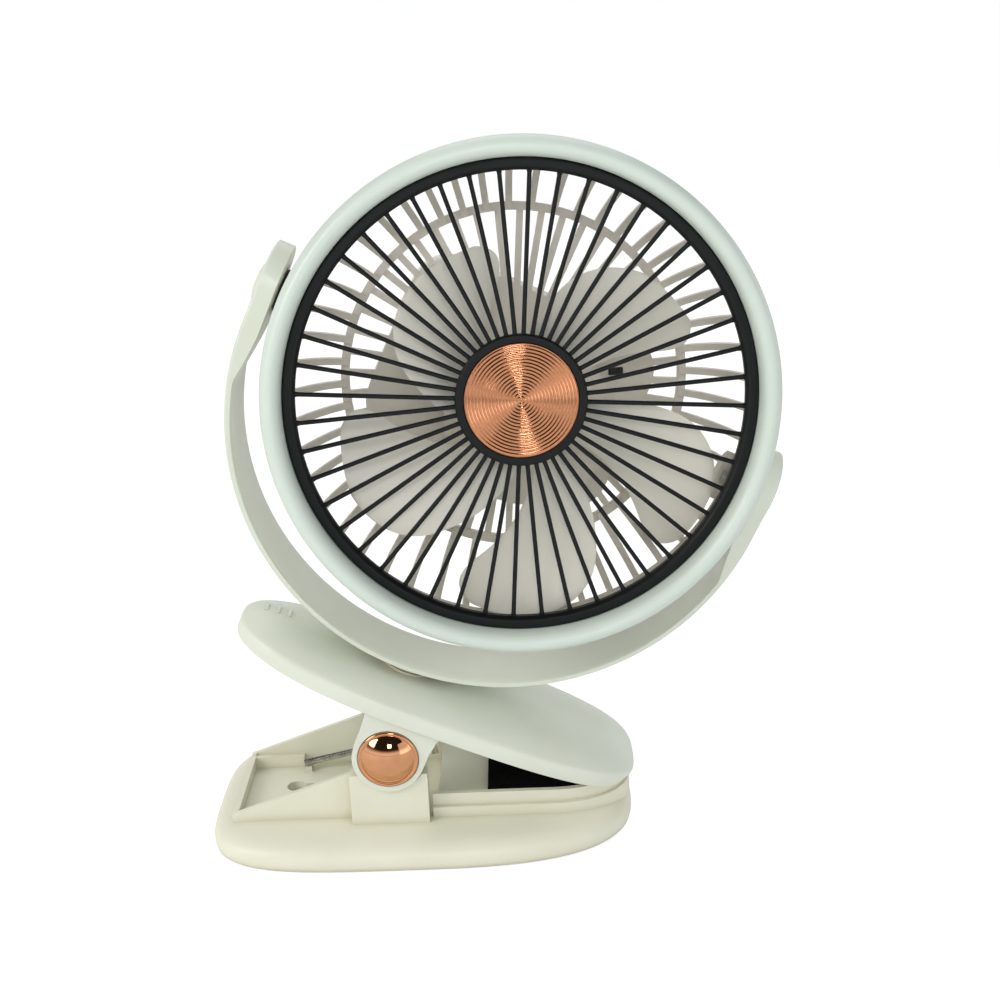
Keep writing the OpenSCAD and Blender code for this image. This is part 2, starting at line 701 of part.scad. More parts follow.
module tilt_washers() color("#2b2b2b") head_frame() both_pivots() rotate([0, 90, 0])
    translate([0, 0, tilt_boss_end + snug]) difference() {
        cylinder(r = tilt_washer_r, h = tilt_washer_t);
        translate([0, 0, -1]) cylinder(r = tilt_r + snug, h = tilt_washer_t + 2);
    }

// ---- Head: front ----

module bezel() color("#dfe8e2") head_frame() difference() {
    crest_r = bezel_in + bezel_face * 0.45;
    turn_y(concat(
        [[bezel_in, clamp_y0], [bezel_in, bezel_y - 1.6]],
        [[bezel_in + 0.5, bezel_y - 3.6], [bezel_in + 1.5, bezel_front + 0.5], [crest_r, bezel_front]],
        [[crest_r + 1.6, bezel_front + 0.5], [bezel_r - 0.7, bezel_y - 2.6], [bezel_r, bezel_y]],
        [[bezel_r - 0.2, bezel_y + 4], [bezel_r - 0.6, bezel_back], [duct_r + snug, bezel_back],
         [duct_r + snug, clamp_y0]]
    ));
    bezel_screw_places() {
        cylinder(r = 1.2, h = bezel_r);
        translate([0, 0, screw_seat_r]) cylinder(r = 2.1, h = 10);
    }
}

// Radial screws that hold the bezel on the duct.
module bezel_screw_places() for (i = [0:3]) rotate([0, 45 + 90 * i, 0])
    translate([0, screw_y, 0]) children();

module front_grille() color("#14202a") head_frame() {
    turn_y([[rim_r - rim_w, rim_front + 1.4], [rim_r - rim_w + 1, rim_front], [rim_r, rim_front],
            [rim_r, clamp_y0 + snug], [duct_r - 0.1, clamp_y0 + snug],
            [duct_r - 0.1, clamp_y0 + snug + flange_t], [rim_r, clamp_y0 + snug + flange_t],
            [rim_r, rim_front + rim_d], [rim_r - rim_w, rim_front + rim_d]]);
    turn_y([[0, grille_y + 0.2], [badge_r + 0.1, grille_y + 0.2], [badge_r + 0.1, grille_y - 0.9],
            [hub_ring_r - 0.5, grille_y - 0.9], [hub_ring_r, grille_y - 0.3],
            [hub_ring_r, grille_y + bar_t + 0.6],
            [0, grille_y + bar_t + 0.6]]);
    for (i = [0:bars - 1]) rotate([0, bar_phase + 360 / bars * (i + 0.5), 0])
        translate([hub_ring_r - 1, grille_y, -bar_w / 2])
            cube([rim_r - rim_w - hub_ring_r + 2, bar_t, bar_w]);
}

module centre_badge() color("peru") head_frame() turn_y([
    [0, grille_y - 1], [badge_r - 0.6, grille_y - 1], [badge_r, grille_y - 0.5],
    [badge_r, grille_y + 0.2 - snug],
    [0, grille_y + 0.2 - snug]
]);

// ---- Head: rear housing and pod ----

// Rounded outline of the pod in X and Z.
module pod_outline(inset, y0, y1) {
    r = pod_corner - inset;
    w = pod_w / 2 - inset - r;
    h = pod_h / 2 - inset - r;
    points = concat(arc(w, h, r, 0, 90, 8), arc(-w, h, r, 90, 180, 8),
                    arc(-w, -h, r, 180, 270, 8), arc(w, -h, r, 270, 360, 8));
    translate([0, 0, pod_mid_b]) plate_y(points, y0, y1);
}

module rear_bars(count, phase, r0, r1, width)
    for (i = [0:count - 1]) rotate([0, phase + 360 / count * i, 0])
        translate([r0, duct_back - 4, -width / 2]) cube([r1 - r0, 60, width]);

module outer_bars() intersection() {
    turn_y(concat(dish, [for (i = [dish_steps:-1:0]) let (f = i / dish_steps)
        [dish[i][0] - rear_bar_t * (0.7 + 0.3 * f), dish[i][1] - rear_bar_t * 1.05 * f]]));
    rear_bars(bars, bar_phase, rear_ring_r - 2, duct_r + 1, rear_bar_w);
}

module inner_bars() difference() {
    for (i = [0:bars - 1]) rotate([0, bar_phase + 360 / bars * (i + 0.5), 0])
        translate([24, ring_y + 0.4, -rear_bar_w / 2]) cube([rear_ring_r - 25, 2.2, rear_bar_w]);
    pod_outline(1, ring_y - 5, ring_y + 30);
}

module rear_housing() color("#b9aea2") head_frame() difference() {
    union() {
        turn_y([[duct_r - duct_wall, duct_front], [duct_r, duct_front], [duct_r, duct_back],
                [duct_r - 1, duct_back + 1], [duct_r - duct_wall - 1, duct_back]]);
        outer_bars();
        turn_y([[rear_ring_r - ring_t / 2, ring_y], [rear_ring_r + ring_t / 2, ring_y],
                [rear_ring_r + ring_t / 2, ring_y + 3], [rear_ring_r - ring_t / 2, ring_y + 3]]);
        inner_bars();
        difference() {
            pod_outline(0, ring_y, split_y);
            pod_outline(pod_wall, ring_y + pod_wall, split_y + 1);
        }
        translate([motor_u, 0, motor_b]) difference() {
            rod_y(drum_r, drum_front, ring_y + 1);
            rod_y(drum_r - drum_wall, drum_front + drum_wall, ring_y + 6);
        }
        both_pivots() rotate([0, 90, 0]) translate([0, 0, duct_r - 6])
            cylinder(r = tilt_boss_r, h = tilt_boss_end - duct_r + 6);
        pod_screw_places() rod_y(3.2, ring_y + 1, split_y);
    }
    bezel_screw_places() translate([0, 0, duct_r - 10]) cylinder(r = 1 + snug, h = 20);
    // motor opening, screw holes and pivots
    intersection() {
        translate([motor_u, 0, motor_b]) rod_y(drum_r - drum_wall, ring_y - 1, ring_y + 4);
        pod_outline(pod_wall, ring_y - 2, ring_y + 5);
    }
    translate([motor_u, 0, motor_b]) {
        rod_y(bush_r + 0.4, 0, drum_front + drum_wall + 1);
        motor_screw_places() rod_y(1, 0, drum_front + drum_wall + 1);
    }
    rod_y(duct_r - duct_wall, duct_front - 1, duct_back);
    both_pivots() rotate([0, 90, 0]) translate([0, 0, duct_r - 20]) cylinder(r = tilt_r + snug, h = 40);
    pod_screw_places() rod_y(1.2, ring_y + 3, split_y + 1);
    grommet_place() translate([-grommet_w / 2, ring_y - 1, -grommet_h / 2]) cube([grommet_w, 60, grommet_h]);
}

module grommet_place() translate([grommet_u, 0, grommet_b]) rotate([0, -lean - yoke_turn, 0]) children();

grommet_u = 30.9;
grommet_b = 15.25;
grommet_w = 5;
grommet_h = 2.6;

module pod_screw_places() for (i = [-1, 1]) for (j = [-1, 1])
    translate([i * screw_u, 0, pod_mid_b + j * screw_b]) children();

module motor_screw_places() for (i = [-1, 1]) translate([i * 8, 0, 0]) children();

// Posts on the cover behind the board, and cradles and end stops for the cell.
module cover_posts() {
    for (i = [-1, 1]) for (j = [-1, 1])
        translate([board_u + i * (board_w / 2 - 3), 0, board_b + j * (board_h / 2 - 3)])
            rod_y(2, board_y + board_t + snug, pod_back - cover_wall + 0.5);
    difference() {
        for (i = [-1, 1]) translate([i * 20 - 1, cell_y, cell_b - cell_r - 1.5])
            cube([2, pod_back - cover_wall - cell_y + 0.5, 2 * cell_r + 3]);
        translate([-cell_len, cell_y, cell_b]) rotate([0, 90, 0])
            cylinder(r = cell_r + 0.05, h = 2 * cell_len);
    }
    both_pivots() translate([cell_len / 2 + contact_t + 2 * snug, cell_y - 6, cell_b - 6])
        cube([1.6, pod_back - cover_wall - cell_y + 6.5, 11]);
}

module bezel_screws() color("silver") head_frame() bezel_screw_places() {
    translate([0, 0, duct_r - 3]) cylinder(r = 1, h = screw_seat_r + snug - duct_r + 3);
    difference() {
        translate([0, 0, screw_seat_r + snug]) cylinder(r = 1.9, h = 1.1);
        translate([0, 0, screw_seat_r + 0.5]) cylinder(r = 0.8, h = 3, $fn = 6);
    }
}

module lead_grommet() color("#111111") head_frame() grommet_place()
    translate([-grommet_w / 2 + snug, ring_y - 0.6, -grommet_h / 2 + snug])
        cube([grommet_w - 2 * snug, pod_wall + 0.8, grommet_h - 2 * snug]);

module pod_cover() color("#b9aea2") head_frame() difference() {
    union() {
        difference() {
            union() {
                pod_outline(0, split_y + 0.02, pod_back - 2.4);
                pod_outline(0.9, pod_back - 2.4, pod_back - 0.9);
                pod_outline(2.6, pod_back - 0.9, pod_back);
            }
            pod_outline(pod_wall, split_y - 1, pod_back - cover_wall);
        }
        pod_screw_places() rod_y(3.2, split_y + 0.02, pod_back - 0.9);
        cover_posts();
    }
    pod_screw_places() {
        rod_y(1.3, split_y - 1, pod_back + 1);
        rod_y(2.5, split_y + 8, pod_back + 1);
    }
    translate([button_u, 0, button_b]) rod_y(button_r + 0.25, split_y, pod_back + 1);
    translate([pipe_u, 0, button_b]) rod_y(pipe_r + snug, split_y, pod_back + 1);
    translate([usb_u - usb_w / 2 - 0.2, board_y + board_t - 0.1, pod_mid_b - pod_h / 2 - 1])
        cube([usb_w + 0.4, usb_h + 0.3, 6]);
}

module pod_screws() color("silver") head_frame() pod_screw_places() {
    rod_y(1.15, split_y - 6, split_y + 8.1);
    rod_y(2.3, split_y + 8.1, split_y + 9.8);
}

// ---- Motor and rotor ----

module motor_can() color("silver") motor_axis() difference() {
    rod_y(can_r, can_front, can_back);
    rod_y(can_r - 1.2, can_front + 1.4, can_back + 1);
    rod_y(bush_r + snug, can_front - 1, can_front + 2);
    motor_screw_places() rod_y(0.9, can_front - 1, can_front + 2);
}

module motor_end_bell() color("dimgray") motor_axis() difference() {
    rod_y(can_r - 0.3, can_back + 0.02, can_back + bell_t);
    rod_y(bush_r + snug, can_back - 1, can_back + bell_t + 1);
}

module motor_screws() color("silver") motor_axis() motor_screw_places() {
    rod_y(0.85, drum_front - 0.5, can_front + 1.6);
    rod_y(2, drum_front - 1.3, drum_front - snug);
}

module bush(y0) motor_axis() difference() {
    rod_y(bush_r, y0, y0 + bush_len);
    rod_y(shaft_r + run_gap, y0 - 1, y0 + bush_len + 1);
}

module front_bush() color("goldenrod") bush(can_front - 0.8);

module rear_bush() color("goldenrod") bush(can_back + 0.3);

module motor_shaft() color("silver") motor_axis() rod_y(shaft_r, shaft_front, shaft_back);

module armature() color("#8a4b2a") motor_axis() difference() {
    rod_y(can_r - 2.6, can_front + 3, can_back - 1);
    rod_y(shaft_r + snug, can_front, can_back + 1);
}

// Sweep of the blade's middle and its half width, in degrees, at a share f of the tip radius.
function blade_sweep(f) = -46 * f;
function blade_half(f) = 24 * sqrt(1 - pow(max(0, f - 0.72) / 0.3, 2.6)) * min(1, 0.75 + 0.25 * f / 0.3);
function blade_pitch(f) = 15 * f - 40;

function blade_point(f, c, side) =
    let (
        r = root_r + (rotor_r - root_r) * f,
        share = r / rotor_r,
        a = blade_sweep(share) + c * blade_half(share),
        chord = r * (c * blade_half(share)) * PI / 180,
        y = blade_mid_y + chord * tan(blade_pitch(share)) * 0.55 - 1.2 * (1 - c * c)
    )
    [r * cos(a), y + side * blade_t / 2, r * sin(a)];

// Rings of points round the blade's section, from root to tip.
module blade() {
    across = 8;
    along = 14;
    loft([for (k = [0:along]) let (f = 1 - pow(1 - k / along, 1.6))
        concat(
            [for (i = [0:across]) blade_point(f, -1 + 2 * i / across, 1)],
            [for (i = [across:-1:0]) blade_point(f, -1 + 2 * i / across, -1)]
        )], rows = true);
}

module rotor() color("#cfc8bd") motor_axis() difference() {
    union() {
        rod_y(hub_r, hub_front + 1.5, hub_back);
        for (i = [0:blades - 1]) rotate([0, blade_phase + 360 / blades * i, 0]) blade();
    }
    rod_y(shaft_r + snug, hub_front - 3, hub_back + 1);
    rod_y(hub_r - 2, hub_front + 6, hub_back + 1);
}

blade_phase = -42.3;                   // turn of the rotor at rest

module rotor_cap() color("#cfc8bd") motor_axis() difference() {
    turn_y([[0, shaft_front - 0.8], [2.4, shaft_front - 0.8], [3.6, shaft_front],
            [5, hub_front + 1.5 - snug], [0, hub_front + 1.5 - snug]]);
    rod_y(shaft_r + snug, shaft_front - snug, hub_back);
}

// ---- Pod contents ----

module battery_cell() color("steelblue")
    head_frame() translate([-cell_len / 2, cell_y, cell_b]) rotate([0, 90, 0])
    cylinder(r = cell_r, h = cell_len);

module battery_contacts() color("silver") head_frame() both_pivots()
    translate([cell_len / 2 + snug, cell_y - 5, cell_b - 5]) cube([contact_t, 10, 10]);

module circuit_board() color("seagreen") head_frame()
    translate([board_u - board_w / 2, board_y, board_b - board_h / 2]) cube([board_w, board_t, board_h]);

module usb_socket() color("silver") head_frame() difference() {
    translate([usb_u - usb_w / 2, board_y + board_t + snug, pod_mid_b - pod_h / 2 + 0.4])
        cube([usb_w, usb_h, usb_len]);
    translate([usb_u - usb_w / 2 + 0.4, board_y + board_t + snug + 0.4, pod_mid_b - pod_h / 2])
        cube([usb_w - 0.8, usb_h - 0.8, 6]);
}

module button_switch() color("#222222") head_frame() translate([button_u, 0, button_b]) {
    translate([-3, board_y + board_t + snug, -3]) cube([6, switch_t, 6]);
}

module power_button() color("#dfe8e2") head_frame() translate([button_u, 0, button_b]) {
    inside = pod_back - cover_wall;
    rod_y(button_r, inside - 1.2, pod_back + button_out);
    rod_y(button_r + 1.4, inside - 1.3, inside - 0.15);
    rod_y(1.6, board_y + board_t + snug + switch_t + button_travel + 0.1, inside - 1.2);
}

module light_pipe() color("white")
    head_frame() translate([pipe_u, 0, button_b]) rod_y(pipe_r, board_y + board_t + snug, pod_back);

base();
hinge_pin();
hinge_cap_front();
hinge_cap_back();
torsion_spring();
lower_jaw_pad();
upper_jaw();
upper_jaw_pad();
swivel_washer();
swivel_screw();
swivel_spring_washer();
yoke();
tilt_screws();
tilt_washers();
tilt_caps();
bezel();
front_grille();
centre_badge();
rear_housing();
bezel_screws();
lead_grommet();
pod_cover();
pod_screws();
motor_can();
motor_end_bell();
motor_screws();
front_bush();
rear_bush();
motor_shaft();
armature();
rotor();
rotor_cap();
battery_cell();
battery_contacts();
circuit_board();
usb_socket();
button_switch();
power_button();
light_pipe();
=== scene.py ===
"""Looks of a clip-on camping fan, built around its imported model.

Sizes of the pieces are in millimetres, and every object is set in metres in the model's own frame:
+Z up, the grille faces -Y and the clip's nose points along +X.
"""
import logging
from dataclasses import dataclass, field
from enum import Enum
from functools import cache
from math import cos, hypot, pi, radians, sin, sqrt, tan

import bpy
from mathutils import Matrix, Vector


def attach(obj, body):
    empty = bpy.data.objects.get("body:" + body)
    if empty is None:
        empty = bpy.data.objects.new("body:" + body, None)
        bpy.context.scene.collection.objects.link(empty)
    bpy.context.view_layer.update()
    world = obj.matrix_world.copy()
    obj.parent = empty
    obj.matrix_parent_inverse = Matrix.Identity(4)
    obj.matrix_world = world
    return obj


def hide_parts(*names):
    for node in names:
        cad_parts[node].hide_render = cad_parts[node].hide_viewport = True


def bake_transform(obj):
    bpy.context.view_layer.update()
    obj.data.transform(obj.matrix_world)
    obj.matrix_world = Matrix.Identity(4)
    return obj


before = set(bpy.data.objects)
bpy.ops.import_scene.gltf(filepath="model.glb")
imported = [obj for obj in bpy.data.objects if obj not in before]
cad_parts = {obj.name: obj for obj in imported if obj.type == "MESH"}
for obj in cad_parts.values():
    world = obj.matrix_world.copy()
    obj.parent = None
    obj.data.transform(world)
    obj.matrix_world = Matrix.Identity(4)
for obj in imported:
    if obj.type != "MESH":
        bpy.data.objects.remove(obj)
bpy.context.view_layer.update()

log = logging.getLogger("camping_fan")

MM = 0.001
# The angle past which an edge stays sharp, in degrees
CREASE = 38.0
Point = tuple[float, float]
Triple = tuple[float, float, float]
Ring = list[Vector]
Face = tuple[int, ...]
Surface = tuple[list[Vector], list[Face]]
Piece = bpy.types.Object
Socket = bpy.types.NodeSocket


# ---- Shader tools ----

def linear(hex_colour: str) -> tuple[float, float, float, float]:
    """Turn an sRGB hex colour into the linear colour that a shader takes.

    Args:
        hex_colour: the colour as #rrggbb.

    Returns:
        Red, green, blue and an alpha of 1.
    """
    parts = [int(hex_colour[i:i + 2], 16) / 255 for i in (1, 3, 5)]
    r, g, b = (p / 12.92 if p <= 0.04045 else ((p + 0.055) / 1.055) ** 2.4 for p in parts)
    return r, g, b, 1.0


def add_node(tree: bpy.types.NodeTree, kind: str, values: dict | None = None, links: dict | None = None,
             **settings: object) -> bpy.types.Node:
    """Add one node with its settings, its fixed values and its links.

    Args:
        tree: the node tree that takes the node.
        kind: the node's type name, without its ShaderNode prefix.
        values: input sockets and the values they hold.
        links: input sockets and the output sockets that feed them.
        **settings: the node's own properties.

    Returns:
        The new node.
    """
    node = tree.nodes.new("ShaderNode" + kind)
    for name, value in settings.items():
        setattr(node, name, value)
    for socket, value in (values or {}).items():
        node.inputs[socket].default_value = value
    for socket, source in (links or {}).items():
        tree.links.new(source, node.inputs[socket])
    return node


def per_mm(size: float) -> float:
    """Scale of a noise texture whose grains are this many millimetres wide."""
    return 1 / (size * MM)


@dataclass(frozen=True)
class Coat:
    """A material in the making: its nodes, its main shader and the object coordinates, in metres."""

    tree: bpy.types.NodeTree
    shader: bpy.types.Node
    place: Socket

    def noise(self, grain_mm: float, detail: float) -> Socket:
        """Draw a noise.

        Args:
            grain_mm: how wide its grains are.
            detail: how many finer layers it has.

        Returns:
            The noise, 0 to 1.
        """
        return add_node(self.tree, "TexNoise", {"Scale": per_mm(grain_mm), "Detail": detail},
                        {"Vector": self.place}).outputs["Fac"]

    def ramp(self, source: Socket, reads: Point, gives: Point) -> Socket:
        """Turn one range of values into another, held at its ends.

        Args:
            source: the value that is turned.
            reads: the range that it is read over.
            gives: the range that comes out.

        Returns:
            The turned value.
        """
        return add_node(self.tree, "MapRange", {"From Min": reads[0], "From Max": reads[1], "To Min": gives[0],
                                                "To Max": gives[1]}, {"Value": source}).outputs[0]

    def feed(self, socket: str, source: Socket) -> None:
        """Let a pattern drive one of the shader's sockets."""
        self.tree.links.new(source, self.shader.inputs[socket])

    def set(self, socket: str, value: float | tuple[float, ...]) -> None:
        """Give one of the shader's sockets the same value everywhere."""
        self.shader.inputs[socket].default_value = value

    def emboss(self, height: Socket, strength: float, depth_mm: float) -> None:
        """Raise the surface by a pattern.

        Args:
            height: the pattern.
            strength: how much of it shows.
            depth_mm: how deep it is.
        """
        bump = add_node(self.tree, "Bump", {"Strength": strength, "Distance": depth_mm * MM}, {"Height": height})
        self.feed("Normal", bump.outputs[0])


# ---- Finishes ----

@dataclass(frozen=True)
class Finish:
    """What a piece is made of and how its surface was made."""

    name: str
    colour: str
    roughness: float
    ior: float = 1.5
    metallic: float = 0.0

    def dress(self, coat: Coat) -> None:
        """Give the coat this finish's pattern."""
        raise NotImplementedError

    def tint(self, coat: Coat, factor: Socket, other: str) -> None:
        """Vary the colour between this finish's own and another.

        Args:
            coat: the material in the making.
            factor: how much of the other colour shows.
            other: the other colour as #rrggbb.
        """
        mix = add_node(coat.tree, "Mix", {6: linear(self.colour), 7: linear(other)}, {0: factor}, data_type="RGBA")
        coat.feed("Base Color", mix.outputs[2])


@cache
def material_of(finish: Finish) -> bpy.types.Material:
    """Build a finish's material once.

    Args:
        finish: the finish.

    Returns:
        Its material, the same one each time.
    """
    material = bpy.data.materials.new(finish.name)
    material.use_nodes = True
    tree = material.node_tree
    coat = Coat(tree, tree.nodes["Principled BSDF"], add_node(tree, "TexCoord").outputs["Object"])
    coat.set("Base Color", linear(finish.colour))
    coat.set("Roughness", finish.roughness)
    coat.set("Metallic", finish.metallic)
    if not finish.metallic:
        coat.set("IOR", finish.ior)
    finish.dress(coat)
    return material


@dataclass(frozen=True)
class MouldedPlastic(Finish):
    """Injection-moulded plastic from a spark-eroded mould: satin, faintly clouded, with a fine even grain."""

    # Colour of the faint clouds, darker and warmer, which is also the colour of the shade painted into seams
    cloud_and_shade: str = "#d0cbbb"
    cloud_mm: float = 26.0
    grain_mm: float = 0.45
    grain_depth_mm: float = 0.02
    # How strongly seams and corners are darkened with painted shade, 0 to 1
    seam_shade: float = 0.5

    def dress(self, coat: Coat) -> None:
        """Cloud the colour, paint shade into the seams and grain the surface.

        Args:
            coat: the material in the making.
        """
        # Flow of the melt: broad, faint clouds that keep a large face from looking painted
        cloudy = coat.ramp(coat.noise(self.cloud_mm, 3.0), (0.35, 0.75), (0.0, 0.12))
        # Painted shade: the colour darkens towards the cloud colour in seams and corners within 4 mm of another wall,
        # where shade falls
        seams = add_node(coat.tree, "AmbientOcclusion", {"Distance": 4 * MM}, samples=6)
        painted_seam_shade = coat.ramp(seams.outputs["AO"], (0.35, 0.95), (self.seam_shade, 0.0))
        both = add_node(coat.tree, "Math", None, {0: cloudy, 1: painted_seam_shade}, operation="MAXIMUM")
        self.tint(coat, both.outputs[0], self.cloud_and_shade)
        # Handling polishes some places: the sheen wanders a little
        sheen = coat.ramp(coat.noise(9, 4.0), (0.3, 0.7), (self.roughness - 0.05, self.roughness + 0.05))
        coat.feed("Roughness", sheen)
        # The eroded grain is 0.1 to 0.2 mm wide on a mould, drawn two to three times as coarse to show
        coat.emboss(coat.noise(self.grain_mm, 2.0), 0.5, self.grain_depth_mm)


@dataclass(frozen=True)
class PolishedPlate(Finish):
    """Vacuum-plated plastic, buffed: a clean mirror that the moulding under it bends a little."""

    shade: str = "#8f5d45"

    def dress(self, coat: Coat) -> None:
        """Ripple the mirror and dull it in patches.

        Args:
            coat: the material in the making.
        """
        film = coat.noise(4, 3.0)
        self.tint(coat, coat.ramp(film, (0.4, 0.8), (0.0, 0.18)), self.shade)
        coat.feed("Roughness", coat.ramp(film, (0.35, 0.7), (self.roughness, self.roughness + 0.06)))
        # Sink marks of the moulding under the plate, about 3 mm across and a few microns deep
        coat.emboss(coat.noise(3, 1.0), 0.25, 0.02)


@dataclass(frozen=True)
class TurnedPlate(Finish):
    """Face-turned, plated metal: fine rings pull the light into a bright hourglass across the disc."""

    # The darker colour of the shade painted into the rings
    shade: str = "#9c5f43"
    pitch_mm: float = 0.34
    anisotropy: float = 0.65

    def dress(self, coat: Coat) -> None:
        """Cut the tool's rings round the disc's own Y axis and paint shade into them.

        Args:
            coat: the material in the making.
        """
        coat.set("Anisotropic", self.anisotropy)
        # Grooves spread the light across themselves, a quarter turn from the way they run
        coat.set("Anisotropic Rotation", 0.25)
        # A real tool leaves 0.1 to 0.2 mm rings, drawn about twice as coarse to show
        rings = add_node(coat.tree, "TexWave", {"Scale": 2 * pi / (20 * self.pitch_mm * MM), "Distortion": 0.0},
                         {"Vector": coat.place}, wave_type="RINGS", rings_direction="Y").outputs["Fac"]
        # Painted shade: the rings are tinted towards the darker colour, more in some patches than in others
        painted_ring_shade = add_node(coat.tree, "Math", {2: 0.0}, {0: rings, 1: coat.noise(1.2, 3.0)}, operation="MULTIPLY_ADD")
        self.tint(coat, painted_ring_shade.outputs[0], self.shade)
        coat.emboss(rings, 0.35, 0.012)
        coat.feed("Tangent", add_node(coat.tree, "Tangent", direction_type="RADIAL", axis="Y").outputs[0])


@dataclass(frozen=True)
class MouldedRubber(Finish):
    """Compression-moulded rubber: matt and dark, with a dry bloom on its high places."""

    bloom: str = "#34363a"
    sheen: float = 0.5

    def dress(self, coat: Coat) -> None:
        """Bloom the colour and roughen the skin.

        Args:
            coat: the material in the making.
        """
        # Powder on the skin leaves it almost no sheen
        coat.set("Specular IOR Level", self.sheen)
        self.tint(coat, coat.ramp(coat.noise(5, 5.0), (0.5, 0.8), (0.0, 0.5)), self.bloom)
        coat.emboss(coat.noise(0.35, 3.0), 0.5, 0.03)


@dataclass(frozen=True)
class WorkedMetal(Finish):
    """Bare or plated metal as drawn, rolled or pressed: streaked one way, with a little tarnish."""

    tarnish: str = "#6d6a66"
    streak_mm: Triple = (0.3, 4.0, 0.3)
    pore_mm: float = 0.0

    def dress(self, coat: Coat) -> None:
        """Streak the metal along its work and dull it in patches.

        Args:
            coat: the material in the making.
        """
        stretch = add_node(coat.tree, "Mapping", {"Scale": tuple(per_mm(s) for s in self.streak_mm)},
                           {"Vector": coat.place})
        relief = add_node(coat.tree, "TexNoise", {"Scale": 1.0, "Detail": 3.0},
                          {"Vector": stretch.outputs[0]}).outputs["Fac"]
        self.tint(coat, coat.ramp(coat.noise(3, 4.0), (0.45, 0.8), (0.0, 0.55)), self.tarnish)
        coat.feed("Roughness", coat.ramp(relief, (0.3, 0.7), (self.roughness - 0.06, self.roughness + 0.1)))
        if self.pore_mm:
            relief = add_node(coat.tree, "TexVoronoi", {"Scale": per_mm(self.pore_mm)},
                              {"Vector": coat.place}).outputs["Distance"]
        coat.emboss(relief, 0.4, 0.01)


@dataclass(frozen=True)
class EtchedBoard(Finish):
    """Solder mask over etched copper: green lacquer with raised tracks that show a shade lighter."""

    track: str = "#3f8a5c"
    track_mm: float = 1.6

    def dress(self, coat: Coat) -> None:
        """Lay tracks under the lacquer.

        Args:
            coat: the material in the making.
        """
        tracks = add_node(coat.tree, "TexBrick", {"Scale": per_mm(self.track_mm) / 4, "Mortar Size": 0.06,
                                                  "Mortar Smooth": 0.2}, {"Vector": coat.place}).outputs["Fac"]
        self.tint(coat, tracks, self.track)
        coat.emboss(tracks, 0.5, 0.035)


@dataclass(frozen=True)
class ClearAcrylic(Finish):
    """Moulded acrylic light pipe: clear, with a frosted end that spreads the light."""

    def dress(self, coat: Coat) -> None:
        """Let light through and frost the skin.

        Args:
            coat: the material in the making.
        """
        coat.set("Transmission Weight", 0.85)
        coat.feed("Roughness", coat.ramp(coat.noise(0.4, 2.0), (0.0, 1.0), (self.roughness, self.roughness + 0.25)))


class Slot(Enum):
    """Material slots of the record, with the finish each one shows."""

    IVORY = ("ivory_shell", MouldedPlastic("Moulded_ABS_ivory", "#e6e6d3", 0.4, 1.53, cloud_and_shade="#b8ac92"))
    OFFWHITE = ("offwhite_shell", MouldedPlastic("Moulded_ABS_offwhite", "#dfe5d8", 0.36, 1.53, cloud_and_shade="#b3a791"))
    MINT = ("mint_shell", MouldedPlastic("Moulded_ABS_pale_mint", "#d3dfd6", 0.36, 1.53, cloud_and_shade="#a9b5aa", seam_shade=0.3))
    BEIGE = ("beige_shell", MouldedPlastic("Moulded_ABS_pale_beige", "#e7e3da", 0.42, 1.53, cloud_and_shade="#bdb3a4", seam_shade=0.3))
    ROTOR = ("rotor_plastic", MouldedPlastic("Moulded_polypropylene_rotor", "#eceadd", 0.38, 1.49, cloud_and_shade="#c6bfb0",
                                             grain_mm=0.6))
    GRILLE = ("grille_black", MouldedPlastic("Moulded_ABS_blue_black", "#05090c", 0.46, 1.38, cloud_and_shade="#0d1418",
                                             seam_shade=0.1))
    ROSE = ("rose_gold", PolishedPlate("Polished_rose_gold_plate", "#e2a67c", 0.05, metallic=1.0))
    TURNED = ("turned_rose_gold", TurnedPlate("Turned_rose_gold_plate", "#e29f76", 0.14, metallic=1.0))
    PAD = ("pad_rubber", MouldedRubber("Moulded_rubber_black", "#020203", 0.9, 1.5, bloom="#08090a", sheen=0.1))
    WASHER = ("washer_rubber", MouldedRubber("Moulded_nitrile_washer", "#2a2b2d", 0.6, 1.52, bloom="#46484b"))
    SPRING = ("spring_steel", WorkedMetal("Drawn_spring_steel", "#c9c8c4", 0.24, metallic=1.0))
    ZINC = ("zinc_steel", WorkedMetal("Zinc_plated_steel", "#c3c7ca", 0.3, metallic=1.0, tarnish="#8c9093",
                                      streak_mm=(0.5, 0.5, 0.5)))
    BLUED = ("blued_steel", WorkedMetal("Blued_spring_steel", "#3b4148", 0.34, metallic=1.0, tarnish="#22262c"))
    BRONZE = ("bronze", WorkedMetal("Sintered_bronze", "#b98a4e", 0.42, metallic=1.0, tarnish="#7b5630", pore_mm=0.3))
    COPPER = ("copper_windings", WorkedMetal("Enamelled_copper_wire", "#b56a43", 0.3, metallic=1.0, tarnish="#7c3f22",
                                             streak_mm=(4.0, 0.35, 4.0)))
    BLACK = ("black_plastic", MouldedPlastic("Moulded_nylon_black", "#17181a", 0.5, 1.53, cloud_and_shade="#2a2c2f", seam_shade=0.2))
    BOARD = ("board", EtchedBoard("Solder_masked_board", "#1f5b3b", 0.3, 1.55))
    WRAP = ("cell_wrap", MouldedPlastic("Shrunk_PVC_cell_wrap", "#3f7fae", 0.28, 1.54, cloud_and_shade="#2c608a", grain_mm=2.0,
                                        grain_depth_mm=0.03))
    PIPE = ("clear_pipe", ClearAcrylic("Moulded_acrylic_clear", "#f2f5f4", 0.12, 1.49))


# ---- Frames of the fan ----

